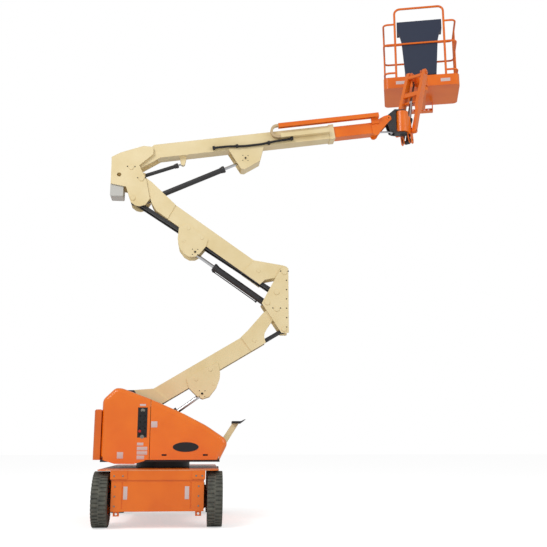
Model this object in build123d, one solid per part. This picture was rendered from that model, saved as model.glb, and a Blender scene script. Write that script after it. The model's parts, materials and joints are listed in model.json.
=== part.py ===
from build123d import *
import os
from math import atan2, cos, degrees, hypot, radians, sin, tan

# Articulating boom lift, in millimetres.
# +X is the way the booms point, +Y runs along the chassis towards its steered end, +Z is up.
# The origin is on the ground, under the centre of the turntable's swing bearing.

# ---------------------------------------------------------------- driving dimensions

WHEEL_BASE = 2000
TRACK = 1322                 # centre to centre of the tyres
TYRE_DIAMETER = 635
TYRE_WIDTH = 178
TYRE_SHOULDER = 22           # round of the tread's edges
RIM_DIAMETER = 390
RIM_WALL = 10
DISC_THICKNESS = 16
HUB_RADIUS = 62              # spindle nose that the wheel's disc turns on
RUN_GAP = 0.5                # radial gap of a pin or spindle in its bore
SEAT_GAP = 0.3               # gap between pieces that are fitted together

DECK_HALF_WIDTH = 705
DECK_LENGTH = 2430
DECK_THICKNESS = 12
DECK_CORNER = 90
DECK_CLEARANCE = 10          # above the tyres
BODY_HALF_WIDTH = 532
BODY_BOTTOM = 190
BODY_WALL = 14
BODY_REAR_Y = 580            # where the wide body stops ahead of the steered wheels
STEER_BODY_HALF_WIDTH = 290
STEER_BODY_BOTTOM = 405

KINGPIN_X = 492
KINGPIN_RADIUS = 20
AXLE_DEPTH = 130
AXLE_WIDTH = 110
STEER_ARM_LENGTH = 150

RING_RADIUS = 345
RING_HEIGHT = 76
BASE_PLATE = 25
TURNTABLE_HALF_WIDTH = 690
TURNTABLE_FRONT = 722
TURNTABLE_REAR = -735
CHEEK_INNER = 130            # half the gap between the two tower cheeks
CHEEK_THICKNESS = 20

PIN_RADIUS = 25
PIN_HEAD_RADIUS = 34
PIN_HEAD = 10
BEAM_HALF_WIDTH = 110        # tower beams
BEAM_WALL = 8
BEAM_LIP = 20                # width of each lip that closes the beam's underside
PLATE = 12                   # side plates welded on the beams
UPRIGHT_INNER = 130          # half the gap between an upright's side plates
UPRIGHT_PLATE = 14
LINK_INNER = 60              # each link is twin bars, with the cylinders between them
LINK_THICKNESS = 25
LINK_DEPTH = 46
LINK_EYE = 42
LUG_INNER = 32               # inner lug plates of the top upright
LUG_PLATE = 13

TOWER_BASE = (-480, 1570)    # pins of the tower, as (x, z) at rest
MID_LOWER = (1485, 2753)
MID_UPPER = (1592, 3272)
TOP_LOWER = (-409, 4565)
BOOM_PIVOT = (-557, 4728)
LOWER_LINK_OFFSET = (101, -274)
UPPER_LINK_OFFSET = (-108, -286)
LOWER_CYLINDER_FOOT = (-560, 850)
MID_CYLINDER_FOOT = (1356, 2841)
LIFT_CYLINDER_FOOT = (-320, 4295)
MASTER_CYLINDER_FOOT = (-420, 4640)

LOWER_BEAM_TOP = -90         # below the line through the beam's two pins
LOWER_BEAM_DEPTH = 230
UPPER_BEAM_TOP = -108
UPPER_BEAM_DEPTH = 228
UPPER_BEAM_END = 1950        # short of the lift cylinder's foot
LIFT_SLOT_START = 1400       # slot in the top plate that the lift cylinder folds into
LIFT_SLOT_HALF_WIDTH = 62
UPPER_BEAM_SKEW = 2.18       # degrees between the beam and the line of its pins

BOOM_ANGLE = 8.8             # main boom above level at rest
BOOM_HALF_WIDTH = 100
BOOM_LOW = 110               # underside of the boom, above the pivot line
BOOM_DEPTH = 200
BOOM_WALL = 7
BOOM_START = 380
BOOM_END = 2955
FLY_HALF_WIDTH = 80
FLY_LOW = 128
FLY_DEPTH = 164
FLY_WALL = 6
FLY_START = 1160
FLY_END = 3600
PAD_GAP = 0.5                # wear pads to the tube that slides on them
NOSE_PIVOT = (3800, 330)     # in the boom's own frame

JIB_AXIS_X = 222             # ahead of the nose pivot
JIB_SWING = 50               # degrees, from the boom's direction towards +Y
JIB_ANGLE = 67
JIB_LENGTH = 1240
JIB_PIVOT_REACH = 135        # from the swing axis to the jib's pivot
JIB_PIVOT_Z = 5500
JIB_SPREAD = 135             # from the jib's middle to the middle of each arm
JIB_ARM_WIDTH = 50
JIB_LINK_OFFSET = (27, -127)
JIB_LINK_INNER = 55
JIB_LINK_THICKNESS = 14
JIB_CYLINDER_FOOT = (39, -145)
JIB_ROD_REACH = 620
SWING_SHAFT = 30
ROTATOR_RADIUS = 98
ROTATOR_LOW = 5445
ROTATOR_HIGH = 5765

PLATFORM_TURN = 75.6         # direction that the platform faces away to
SUPPORT_REACH = 200          # from the jib's top pivot to the platform's turning axis
TURN_SHAFT = 34
PLATFORM_OFFSET = 250        # from the turning axis to the platform's near side
PLATFORM_WIDTH = 1220
PLATFORM_DEPTH = 760
PLATFORM_CORNER = 75
PLATFORM_FLOOR_Z = 6640
FLOOR_THICKNESS = 8
TOE_BOARD = 190
TOE_WALL = 6
RAIL_RADIUS = 16
POST_RADIUS = 14
CROSS_RAIL_RADIUS = 15
HOOP_RADIUS = 18
TOP_RAIL = 1154
KNEE_RAIL = 786
LOW_RAIL = 277
HOOP_TOP = 1424
HOOP_HALF_WIDTH = 400
GATE_HALF_WIDTH = 230
TURN_HUB = (-216, -156)      # bearing below the floor that the support's shaft stands in
TURN_HUB_RADIUS = 88
ANCHOR_Z = 910               # lanyard anchors, above the floor's underside
ANCHOR_HALF = 4
ANCHOR_REACH = 38
ANCHOR_EYE = 12
GATE_GAP = 8

DECK_LOW = TYRE_DIAMETER + DECK_CLEARANCE
DECK_TOP = DECK_LOW + DECK_THICKNESS
RING_TOP = DECK_TOP + RING_HEIGHT
PLATE_LOW = RING_TOP + SEAT_GAP
PLATE_TOP = PLATE_LOW + BASE_PLATE
AXLE_Z = TYRE_DIAMETER / 2

# ---------------------------------------------------------------- shapes used all through


def slab(outline, y_low, y_high, corner=0):
    """A flat plate: its outline in (x, z), its thickness along y."""
    face = make_face(Polyline(*outline, close=True))
    if corner:
        face = fillet(face.vertices(), corner)
    return extrude(Plane.XZ.offset(-y_high) * face, y_high - y_low)


def pair(outline, y_inner, thickness, corner=0):
    """Two like plates, one on each side of the middle."""
    return slab(outline, y_inner, y_inner + thickness, corner) + slab(
        outline, -y_inner - thickness, -y_inner, corner
    )


def block(x_low, x_high, y_low, y_high, z_low, z_high):
    size = (x_high - x_low, y_high - y_low, z_high - z_low)
    middle = ((x_low + x_high) / 2, (y_low + y_high) / 2, (z_low + z_high) / 2)
    return Pos(*middle) * Box(*size)


def bar_y(x, z, radius, y_low, y_high):
    """A round bar across the machine."""
    return Pos(x, (y_low + y_high) / 2, z) * Rot(90, 0, 0) * Cylinder(radius, y_high - y_low)


def bar_x(y, z, radius, x_low, x_high):
    return Pos((x_low + x_high) / 2, y, z) * Rot(0, 90, 0) * Cylinder(radius, x_high - x_low)


def bar_z(x, y, radius, z_low, z_high):
    return Pos(x, y, (z_low + z_high) / 2) * Cylinder(radius, z_high - z_low)


def box_tube(x_low, x_high, half_width, z_low, z_high, wall):
    outer = block(x_low, x_high, -half_width, half_width, z_low, z_high)
    inner = block(
        x_low - 1, x_high + 1, -half_width + wall, half_width - wall, z_low + wall, z_high - wall
    )
    return outer - inner


def pinned(x, z, half_length, head=PIN_HEAD):
    """A pivot pin with a round head past each side plate."""
    pin = bar_y(x, z, PIN_RADIUS, -half_length, half_length)
    heads = bar_y(x, z, PIN_HEAD_RADIUS, half_length, half_length + head) + bar_y(
        x, z, PIN_HEAD_RADIUS, -half_length - head, -half_length
    )
    return pin + heads


def bore(x, z, reach=400):
    return bar_y(x, z, PIN_RADIUS + RUN_GAP, -reach, reach)


def tube_path(points, radius, bend):
    """A round rail bent from one tube."""
    path = FilletPolyline(*points, radius=bend)
    section = Plane(origin=path @ 0, z_dir=path % 0) * Circle(radius)
    return sweep(section, path=path)


def span(start, end):
    """Length and angle above level of the line from one (x, z) to another."""
    dx, dz = end[0] - start[0], end[1] - start[1]
    return hypot(dx, dz), degrees(atan2(dz, dx))


def add(point, offset):
    return (point[0] + offset[0], point[1] + offset[1])


LOWER_LENGTH, LOWER_ANGLE = span(TOWER_BASE, MID_LOWER)
UPPER_LENGTH, upper_direction = span(MID_UPPER, TOP_LOWER)
UPPER_ANGLE = 180 - upper_direction
LOWER_LINK_FOOT = add(TOWER_BASE, LOWER_LINK_OFFSET)
UPPER_LINK_FOOT = add(MID_UPPER, UPPER_LINK_OFFSET)


def right_frame(origin, angle):
    """Puts a piece drawn level along +X at its pivot, raised by angle."""
    return Pos(origin[0], 0, origin[1]) * Rot(0, -angle, 0)


def left_frame(origin, angle):
    return Pos(origin[0], 0, origin[1]) * Rot(0, 0, 180) * Rot(0, -angle, 0)


LOWER_FRAME = right_frame(TOWER_BASE, LOWER_ANGLE)
UPPER_FRAME = left_frame(MID_UPPER, UPPER_ANGLE)
BOOM_FRAME = right_frame(BOOM_PIVOT, BOOM_ANGLE)


def boom_point(x, z):
    """(x, z) of a point given in the boom's own frame."""
    a = radians(BOOM_ANGLE)
    return (
        BOOM_PIVOT[0] + x * cos(a) - z * sin(a),
        BOOM_PIVOT[1] + x * sin(a) + z * cos(a),
    )


# ---------------------------------------------------------------- chassis


TIE_DOWN_RADIUS = 14
TIE_DOWN_Z = 162
LUG_HALF = 8
TIE_DOWNS = ((-470, -1155), (470, -1155))


def chassis_frame():
    rear, front = -DECK_LENGTH / 2 + 15, DECK_LENGTH / 2 - 15
    deck = extrude(
        Pos(0, 0, DECK_LOW) * RectangleRounded(2 * DECK_HALF_WIDTH, DECK_LENGTH, DECK_CORNER),
        DECK_THICKNESS,
    )
    body = block(-BODY_HALF_WIDTH, BODY_HALF_WIDTH, rear, BODY_REAR_Y, BODY_BOTTOM, DECK_LOW)
    body -= block(
        -BODY_HALF_WIDTH + BODY_WALL, BODY_HALF_WIDTH - BODY_WALL,
        rear + BODY_WALL, BODY_REAR_Y - BODY_WALL,
        BODY_BOTTOM + BODY_WALL, DECK_LOW - BODY_WALL,
    )
    half = STEER_BODY_HALF_WIDTH
    steer_body = block(-half, half, BODY_REAR_Y, front, STEER_BODY_BOTTOM, DECK_LOW)
    steer_body -= block(
        -half + BODY_WALL, half - BODY_WALL, BODY_REAR_Y, front - BODY_WALL,
        STEER_BODY_BOTTOM + BODY_WALL, DECK_LOW - BODY_WALL,
    )
    # header bar across the near end, with a gusset block at each corner
    header = block(-540, 540, rear - 14, rear, 541, DECK_LOW)
    corners = block(-545, -352, rear - 26, rear, 552, DECK_LOW) + block(
        392, 545, rear - 26, rear, 552, DECK_LOW
    )
    frame = deck + body + steer_body + header + corners
    for x, y in TIE_DOWNS:
        lug = block(x - 35, x + 35, y - LUG_HALF, y + LUG_HALF, TIE_DOWN_Z - 26, BODY_BOTTOM + 1)
        frame += lug - bar_y(x, TIE_DOWN_Z, TIE_DOWN_RADIUS, y - 20, y + 20)
    for x in (-405, 383):
        frame -= block(x - 5, x + 5, rear - 1, rear + 6, 220, 520)
    return frame


def drive_hubs():
    """Reduction gear noses that carry the two fixed wheels."""
    hubs = []
    flange_x = TRACK / 2 - 40
    for side in (-1, 1):
        start = side * (BODY_HALF_WIDTH + SEAT_GAP)
        cone = (
            Pos(0, -WHEEL_BASE / 2, AXLE_Z)
            * Rot(0, side * 90, 0)
            * Pos(0, 0, abs(start) + 22)
            * Cone(115, 84, 44)
        )
        low, high = sorted((side * (abs(start) + 44), side * (flange_x + DISC_THICKNESS + 30)))
        nose = bar_x(-WHEEL_BASE / 2, AXLE_Z, HUB_RADIUS, low, high)
        hubs.append(cone + nose)
    return Compound(children=[solid for hub in hubs for solid in hub.solids()])


def steer_axle():
    y = WHEEL_BASE / 2
    depth, width = AXLE_DEPTH / 2, AXLE_WIDTH / 2
    reach = KINGPIN_X - 30
    beam = block(-reach, reach, y - width, y + width, AXLE_Z - depth, AXLE_Z + depth)
    beam -= block(
        -reach + 30, reach - 30, y - width + 12, y + width - 12, AXLE_Z - depth + 12,
        AXLE_Z + depth - 12,
    )
    saddles = block(
        -230, -150, y - width, y + width, AXLE_Z + depth, STEER_BODY_BOTTOM - SEAT_GAP
    ) + block(150, 230, y - width, y + width, AXLE_Z + depth, STEER_BODY_BOTTOM - SEAT_GAP)
    axle = beam + saddles
    for side in (-1, 1):
        x = side * KINGPIN_X
        axle += bar_z(x, y, 42, AXLE_Z - depth, AXLE_Z + depth)
        axle += bar_z(x, y, KINGPIN_RADIUS, AXLE_Z - depth - 30, AXLE_Z + depth + 30)
    return axle


def knuckle(side):
    """Yoke on the kingpin, with the wheel's spindle and the steering arm."""
    y, depth = WHEEL_BASE / 2, AXLE_DEPTH / 2
    outer = KINGPIN_X + 62
    wall = block(outer - 16, outer, y - 60, y + 60, AXLE_Z - depth - 27, AXLE_Z + depth + 27)
    piece = wall
    for low, high in (
        (AXLE_Z + depth + 2, AXLE_Z + depth + 27),
        (AXLE_Z - depth - 27, AXLE_Z - depth - 2),
    ):
        ear = block(KINGPIN_X, outer, y - 45, y + 45, low, high) + bar_z(
            KINGPIN_X, y, 45, low, high
        )
        piece += ear - bar_z(KINGPIN_X, y, KINGPIN_RADIUS + RUN_GAP, low - 1, high + 1)
    spindle = bar_x(y, AXLE_Z, HUB_RADIUS, outer - 1, TRACK / 2 - 40 + DISC_THICKNESS + 30)
    low = AXLE_Z - depth - 27
    arm = block(KINGPIN_X - 20, KINGPIN_X + 20, y - STEER_ARM_LENGTH, y - 40, low, low + 16)
    arm += bar_z(KINGPIN_X, y - STEER_ARM_LENGTH, 26, low, low + 16)
    piece = piece + spindle + arm
    return piece if side > 0 else mirror(piece, about=Plane.YZ)


def tie_rod():
    y = WHEEL_BASE / 2 - STEER_ARM_LENGTH
    top = AXLE_Z - AXLE_DEPTH / 2 - 27 - RUN_GAP
    rod = bar_x(y, top - 22, 15, -KINGPIN_X, KINGPIN_X)
    for x in (-KINGPIN_X, KINGPIN_X):
        rod += bar_z(x, y, 24, top - 44, top)
    return rod


def tyre(x, y):
    """Solid tyre: a crowned tread on straight walls."""
    half, outer, inner = TYRE_WIDTH / 2, TYRE_DIAMETER / 2, RIM_DIAMETER / 2 + SEAT_GAP
    section = make_face(
        Polyline(
            (-half + 8, inner), (-half, inner + 25), (-half, outer - TYRE_SHOULDER),
            (-half + TYRE_SHOULDER, outer), (half - TYRE_SHOULDER, outer),
            (half, outer - TYRE_SHOULDER), (half, inner + 25), (half - 8, inner), close=True,
        )
    )
    return Pos(x, y, AXLE_Z) * revolve(section, Axis.X)


def rim(x, y):
    """Wheel: a barrel with a dished disc that is bored for the hub's nose."""
    side = 1 if x > 0 else -1
    half, outer = TYRE_WIDTH / 2 - 8, RIM_DIAMETER / 2
    disc = -40
    section = make_face(
        Polyline(
            (-half, outer), (half, outer), (half, outer - RIM_WALL),
            (disc + DISC_THICKNESS + 22, outer - RIM_WALL),
            (disc + DISC_THICKNESS, outer - 45),
            (disc + DISC_THICKNESS, HUB_RADIUS + RUN_GAP), (disc, HUB_RADIUS + RUN_GAP),
            (disc, outer - RIM_WALL), (-half, outer - RIM_WALL), close=True,
        )
    )
    wheel = revolve(section, Axis.X)
    if side < 0:
        wheel = mirror(wheel, about=Plane.YZ)
    return Pos(x, y, AXLE_Z) * wheel


def slew_ring():
    ring = bar_z(0, 0, RING_RADIUS, DECK_TOP + SEAT_GAP, RING_TOP)
    return ring - bar_z(0, 0, RING_RADIUS - 110, DECK_TOP, RING_TOP + 1)


# ---------------------------------------------------------------- turntable

COVER_INNER = 192
COVER_OUTER = 725
COVER_SKIN = 8
COVER_EDGE = 60              # round of the covers' outer edge
COVER_SPLIT = -139
COVER_BOTTOM = PLATE_TOP + SEAT_GAP
SPLIT_GAP = 3                # half the gap at the split

# the covers' outline from the side: x, z and the round of that corner
REAR_OUTLINE = [
    (-732, COVER_BOTTOM, 0), (-732, 1485, 100), (-584, 1630, 80), (-505, 1630, 200),
    (COVER_SPLIT - SPLIT_GAP, 1497, 0), (COVER_SPLIT - SPLIT_GAP, COVER_BOTTOM, 0),
]
FRONT_OUTLINE = [
    (COVER_SPLIT + SPLIT_GAP, COVER_BOTTOM, 0), (COVER_SPLIT + SPLIT_GAP, 1494, 0),
    (262, 1321, 600), (550, 1174, 600), (835, 985, 95), (722, COVER_BOTTOM, 0),
]
SKIRT = [(-700, 780), (-690, 752), (-557, 712), (-325, 709), (-200, 745), (-160, 780)]
LATCHES = ((41, 816), (544, 816))

HINGE_Y = 182                # axis of each front cover's hinge, from the middle
HINGE_START = (COVER_SPLIT + SPLIT_GAP, 1494)
HINGE_SLOPE = 26.28          # degrees that the axis falls towards the front
HINGE_PIN = 6
HINGE_KNUCKLE = 10
# each hinge: distance down the axis, then the height of the leaf that joins the cover's skin
HINGES = ((200, -4, 6), (760, 3, 13))


def hinge_place():
    """Frame of the near cover's hinge: x runs down the axis."""
    return Pos(HINGE_START[0], -HINGE_Y, HINGE_START[1]) * Rot(0, HINGE_SLOPE, 0)


def rounded_outline(outline):
    face = make_face(Polyline(*[(x, z) for x, z, r in outline], close=True))
    for x, z, radius in outline:
        if radius:
            face = fillet(face.vertices().sort_by_distance((x, z, 0))[0], radius)
    return face


def cover_form(outline, split, inset, y_in):
    """Solid inside the outline, its near edge rounded except below and at the split."""
    face = rounded_outline(outline)
    if inset:
        face = offset(face, -inset, kind=Kind.INTERSECTION)
    y_out = COVER_OUTER - inset
    solid = extrude(Plane.XZ.offset(y_out) * face, y_in - y_out)
    edge = [
        e
        for e in solid.edges()
        if e.center().Y < 1 - y_out
        and e.center().Z > COVER_BOTTOM + inset + 1
        and abs(e.center().X - split) > inset + 1
    ]
    return fillet(edge, COVER_EDGE - inset)


def cover_shell(outline, split, open_end=False):
    """A moulded cover on the near side: open towards the tower and below."""
    outer = cover_form(outline, split, 0, COVER_INNER)
    inner = cover_form(outline, split, COVER_SKIN, COVER_INNER - 20)
    low_x = min(x for x, z, r in outline) + (-1 if open_end else COVER_SKIN)
    high_x = max(x for x, z, r in outline if z == COVER_BOTTOM) - COVER_SKIN
    opening = block(
        low_x, high_x, -COVER_OUTER + COVER_SKIN, -COVER_INNER + 20, COVER_BOTTOM - 1,
        COVER_BOTTOM + 40,
    )
    shell = outer - inner - opening
    # a cover that swings open has no wall at the split, where the batteries stand close behind
    return shell - Pos(-COVER_SKIN - 1, 0, 0) * inner if open_end else shell


PANEL_WINDOW = (-294, -176, 1025, 1390)  # low x, high x, low z, high z
PANEL_RECESS = 4
PANEL_KNOBS = (1100, 1180, 1260, 1330)


def rear_covers():
    """Fixed covers over the tail, open behind where the counterweight comes through."""
    near = cover_shell(REAR_OUTLINE, COVER_SPLIT - SPLIT_GAP)
    near -= block(
        -733, -723, -WEIGHT_INNER - 1, -COVER_INNER + 1, COVER_BOTTOM - 1, WEIGHT_INNER_TOP + 1
    )
    near += slab(SKIRT, -COVER_OUTER, -COVER_OUTER + COVER_SKIN)
    far = mirror(near, about=Plane.XZ)
    low_x, high_x, low_z, high_z = PANEL_WINDOW
    near -= block(low_x, high_x, -COVER_OUTER - 1, -COVER_OUTER + 60, low_z, high_z)
    return Compound(children=[*near.solids(), *far.solids()])


def front_cover(side):
    """Cover that swings up and out on two hinges beside the tower's channel."""
    cover = cover_shell(FRONT_OUTLINE, COVER_SPLIT + SPLIT_GAP, open_end=True)
    for x, z in LATCHES:
        cover -= block(
            x - 30, x + 30, -COVER_OUTER - 1, -COVER_OUTER + COVER_SKIN + 1, z - 10, z + 10
        )
    place = hinge_place()
    for x, low, high in HINGES:
        cover -= place * block(x - 45, x + 45, -26, 20, -30, 40)
        leaf = block(x - 28, x + 28, -40, 0, low, high) + bar_x(0, 0, HINGE_KNUCKLE, x - 28, x + 28)
        cover += place * (leaf - bar_x(0, 0, HINGE_PIN + RUN_GAP, x - 30, x + 30))
    return cover if side < 0 else mirror(cover, about=Plane.XZ)


def ground_controls():
    """Control box let into the near rear cover, with a column of knobs."""
    low_x, high_x, low_z, high_z = PANEL_WINDOW
    face = -COVER_OUTER + PANEL_RECESS
    box = block(
        low_x + SEAT_GAP, high_x - SEAT_GAP, face, face + 126, low_z + SEAT_GAP, high_z - SEAT_GAP
    )
    for z in PANEL_KNOBS:
        box += bar_y((low_x + high_x) / 2, z, 16, face - 12, face)
    return box


CHANNEL_WALL = 166


def turntable_frame():
    """Base plate with the tower's two cheeks and the walls of the channel it folds into."""
    plate = block(
        TURNTABLE_REAR, TURNTABLE_FRONT, -TURNTABLE_HALF_WIDTH, TURNTABLE_HALF_WIDTH,
        PLATE_LOW, PLATE_TOP,
    )
    cheek = [
        (-556, PLATE_TOP), (-640, 800), (-640, 1250), (-560, 1640), (-400, 1640),
        (-310, 1500), (-290, 1200), (-60, 900), (640, 850), (690, PLATE_TOP),
    ]
    wall = [
        (-700, PLATE_TOP), (-700, 1440), (-575, 1560), (-500, 1560), (-139, 1430), (262, 1255),
        (550, 1110), (690, 1000), (690, PLATE_TOP),
    ]
    frame = plate + pair(cheek, CHEEK_INNER, CHEEK_THICKNESS) + pair(wall, CHANNEL_WALL, 8)
    outer = CHEEK_INNER + CHEEK_THICKNESS
    for x, z in (TOWER_BASE, LOWER_LINK_FOOT, LOWER_CYLINDER_FOOT):
        frame += pinned(x, z, outer)
    for x, leaf_low, leaf_high in HINGES:
        hinge = bar_x(0, 0, HINGE_PIN, x - 38, x + 38)
        for low in (x - 38, x + 30):
            hinge += block(low, low + 8, -8, HINGE_Y - CHANNEL_WALL - 1, -80, 8)
        hinge = hinge_place() * hinge
        frame += hinge + mirror(hinge, about=Plane.XZ)
    return frame


WEIGHT_HALF_WIDTH = 715
WEIGHT_REAR = -828
WEIGHT_FRONT = -736
WEIGHT_TOP = 1366
WEIGHT_CORNER = 70
WEIGHT_INNER = 655           # half width of the mass inside the covers
WEIGHT_INNER_TOP = 1030
WEIGHT_CHANNEL = 190         # half width of the slot for the tower and its cylinder


def counterweight():
    """Cast mass: a slab that closes the tail and two arms inside the rear covers."""
    low = PLATE_TOP + SEAT_GAP
    slab_half = 2 * WEIGHT_HALF_WIDTH
    plan = Pos((WEIGHT_REAR + WEIGHT_FRONT) / 2, 0, low) * Rectangle(
        WEIGHT_FRONT - WEIGHT_REAR, slab_half
    )
    tail = extrude(plan, WEIGHT_TOP - low)
    tail = fillet(tail.edges().filter_by(Axis.Z).group_by(Axis.X)[0], WEIGHT_CORNER)
    tail = chamfer(tail.edges().group_by(Axis.Z)[-1], 14)
    arms = block(WEIGHT_FRONT - 1, -190, -WEIGHT_INNER, WEIGHT_INNER, low, WEIGHT_INNER_TOP)
    arms -= block(
        WEIGHT_FRONT, -189, -WEIGHT_CHANNEL - 8, WEIGHT_CHANNEL + 8, low - 1, WEIGHT_INNER_TOP + 1
    )
    arms -= block(-310, -189, -WEIGHT_INNER - 1, -520, low - 1, WEIGHT_INNER_TOP + 1)
    return tail + arms


def battery_packs():
    packs = [
        block(-110, 560, s * 440 - 190, s * 440 + 190, PLATE_TOP + SEAT_GAP, 1010)
        for s in (-1, 1)
    ]
    return Compound(children=[p.solid() for p in packs])


def boom_rest():
    """Leaning post that the folded tower comes to rest on."""
    foot = PLATE_TOP + SEAT_GAP
    return slab([(600, foot), (700, foot), (985, 1215), (899, 1215)], -60, 60)


REST_GUIDE = 129             # half the gap between the guides that the beam settles between


def boom_rest_pad():
    """Rubber pad on the post, with a guide plate on each side of the folded beam."""
    top = TOWER_BASE[1] + LOWER_BEAM_TOP - LOWER_BEAM_DEPTH - 6
    pad = block(895, 1010, -REST_GUIDE - 10, REST_GUIDE + 10, 1215 + SEAT_GAP, top)
    guide = [(1000, 1218), (1010, 1218), (1070, 1262), (1066, 1270), (1000, 1240)]
    return pad + pair(guide, REST_GUIDE, 10)


# ---------------------------------------------------------------- tower

LOWER_ROD_EYE = (849, -474)
UPPER_ROD_EYE = (1180, -448)


def lipped_beam(x_low, x_high, top, depth):
    """Folded beam, open below between two lips so that the link runs inside."""
    beam = block(x_low, x_high, -BEAM_HALF_WIDTH, BEAM_HALF_WIDTH, top - depth, top)
    inside = BEAM_HALF_WIDTH - BEAM_WALL
    beam -= block(x_low - 1, x_high + 1, -inside, inside, top - depth + BEAM_WALL, top - BEAM_WALL)
    slot = BEAM_HALF_WIDTH - BEAM_LIP
    return beam - block(
        x_low - 1, x_high + 1, -slot, slot, top - depth - 1, top - depth + BEAM_WALL + 1
    )


def bosses(points, radius, y_face, height):
    """Round bosses on the outside of both side plates."""
    made = [
        bar_y(x, z, radius, *sorted((side * y_face, side * (y_face + height))))
        for x, z in points
        for side in (-1, 1)
    ]
    return made


def lower_tower_boom():
    low = LOWER_BEAM_TOP - LOWER_BEAM_DEPTH
    end = LOWER_LENGTH
    foot = [
        (-58, 0), (-30, 52), (30, 60), (330, LOWER_BEAM_TOP), (420, low), (172, low),
        (120, -160), (20, -58), (-30, -52),
    ]
    head = [
        (1675, -85), (1811, -51), (2113, 49), (end, 62), (end + 50, 40), (end + 58, -20),
        (end, -60), (2176, -102), (2072, -148), (1981, -202), (1950, -245), (1929, low),
        (1700, low),
    ]
    bracket = [
        (766, -201), (735, low), (774, -471), (820, -535), (914, -556), (1056, -498),
        (1145, -426), (1192, -359), (1241, -219), (981, -190),
    ]
    piece = lipped_beam(170, 1929, LOWER_BEAM_TOP, LOWER_BEAM_DEPTH)
    for outline, corner in ((foot, 0), (head, 0), (bracket, 12)):
        piece += pair(outline, BEAM_HALF_WIDTH, PLATE, corner)
    piece -= bore(0, 0) + bore(end, 0)
    face = BEAM_HALF_WIDTH + PLATE
    piece += bosses(((876, -266), (1104, -252), (1812, -213)), 26, face, 5)
    piece += bosses((LOWER_ROD_EYE, (1043, -443)), 20, face, 4)
    return LOWER_FRAME * piece


def upper_tower_boom():
    top, low = UPPER_BEAM_TOP, UPPER_BEAM_TOP - UPPER_BEAM_DEPTH
    rise, end = tan(radians(UPPER_BEAM_SKEW)), UPPER_LENGTH
    beam = lipped_beam(175, UPPER_BEAM_END, top, UPPER_BEAM_DEPTH)
    beam -= block(
        LIFT_SLOT_START, UPPER_BEAM_END + 1, -LIFT_SLOT_HALF_WIDTH, LIFT_SLOT_HALF_WIDTH,
        top - BEAM_WALL - 1, top + 1,
    )
    near = [
        (440, top + 440 * rise), (60, 76), (10, 86), (-36, 55), (-44, -10), (-20, -60),
        (59, -132), (166, -239), (185, low + 185 * rise), (480, low + 480 * rise),
    ]
    far = [
        (1780, top + 1780 * rise), (end - 150, 45), (end, 55), (end + 45, 30), (end + 45, -30),
        (end, -55), (end - 120, -100), (end - 250, -160), (end - 330, -215),
        (UPPER_BEAM_END, low + UPPER_BEAM_END * rise), (1760, low + 1760 * rise),
    ]
    bracket = [
        (1560, -285), (1482, -429), (1393, -519), (1290, -556), (1209, -552), (1141, -505),
        (1114, -440), (1100, -300), (1130, -200), (1500, -175),
    ]
    piece = Rot(0, -UPPER_BEAM_SKEW, 0) * beam
    for outline, corner in ((near, 0), (far, 0), (bracket, 12)):
        piece += pair(outline, BEAM_HALF_WIDTH, PLATE, corner)
    piece -= bore(0, 0) + bore(end, 0)
    face = BEAM_HALF_WIDTH + PLATE
    piece += bosses(((1445, -217), (1213, -227), (307, -182)), 26, face, 5)
    piece += bosses((UPPER_ROD_EYE, (1395, -405)), 20, face, 4)
    return UPPER_FRAME * piece


def link(length, inner, thickness, depth, eye, pin=PIN_RADIUS):
    """Parallel link: twin flat bars with a round eye at each end."""
    half = depth / 2
    bars = pair([(0, -half), (length, -half), (length, half), (0, half)], inner, thickness)
    for x in (0, length):
        for side in (-1, 1):
            bars += bar_y(x, 0, eye, *sorted((side * inner, side * (inner + thickness))))
    for x in (0, length):
        bars -= bar_y(x, 0, pin + RUN_GAP, -300, 300)
    return bars


def tower_link(foot, length, place):
    """The bars are tied by two spacers, clear of the cylinders that fold between them."""
    piece = link(length, LINK_INNER, LINK_THICKNESS, LINK_DEPTH, LINK_EYE)
    for x in (330, 560):
        piece += bar_y(x, 0, 15, -LINK_INNER, LINK_INNER)
    return place(foot) * piece


def lower_tower_link():
    return tower_link(
        LOWER_LINK_FOOT, LOWER_LENGTH, lambda foot: right_frame(foot, LOWER_ANGLE)
    )


def upper_tower_link():
    return tower_link(
        UPPER_LINK_FOOT, UPPER_LENGTH, lambda foot: left_frame(foot, UPPER_ANGLE)
    )


def mid_upright():
    x, z = MID_LOWER
    outline = [(-204, 78), (-16, 434), (66, 578), (110, 587), (163, 577), (167, -328), (64, -328)]
    placed = [(x + a, z + b) for a, b in outline]
    piece = pair(placed, UPRIGHT_INNER, UPRIGHT_PLATE, 14)
    piece += block(x + 153, x + 165, -UPRIGHT_INNER, UPRIGHT_INNER, z - 190, z + 425)
    pins = (
        MID_LOWER, MID_UPPER, add(MID_LOWER, LOWER_LINK_OFFSET), UPPER_LINK_FOOT,
        MID_CYLINDER_FOOT,
    )
    for px, pz in pins:
        piece += pinned(px, pz, UPRIGHT_INNER + UPRIGHT_PLATE)
    return piece


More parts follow.
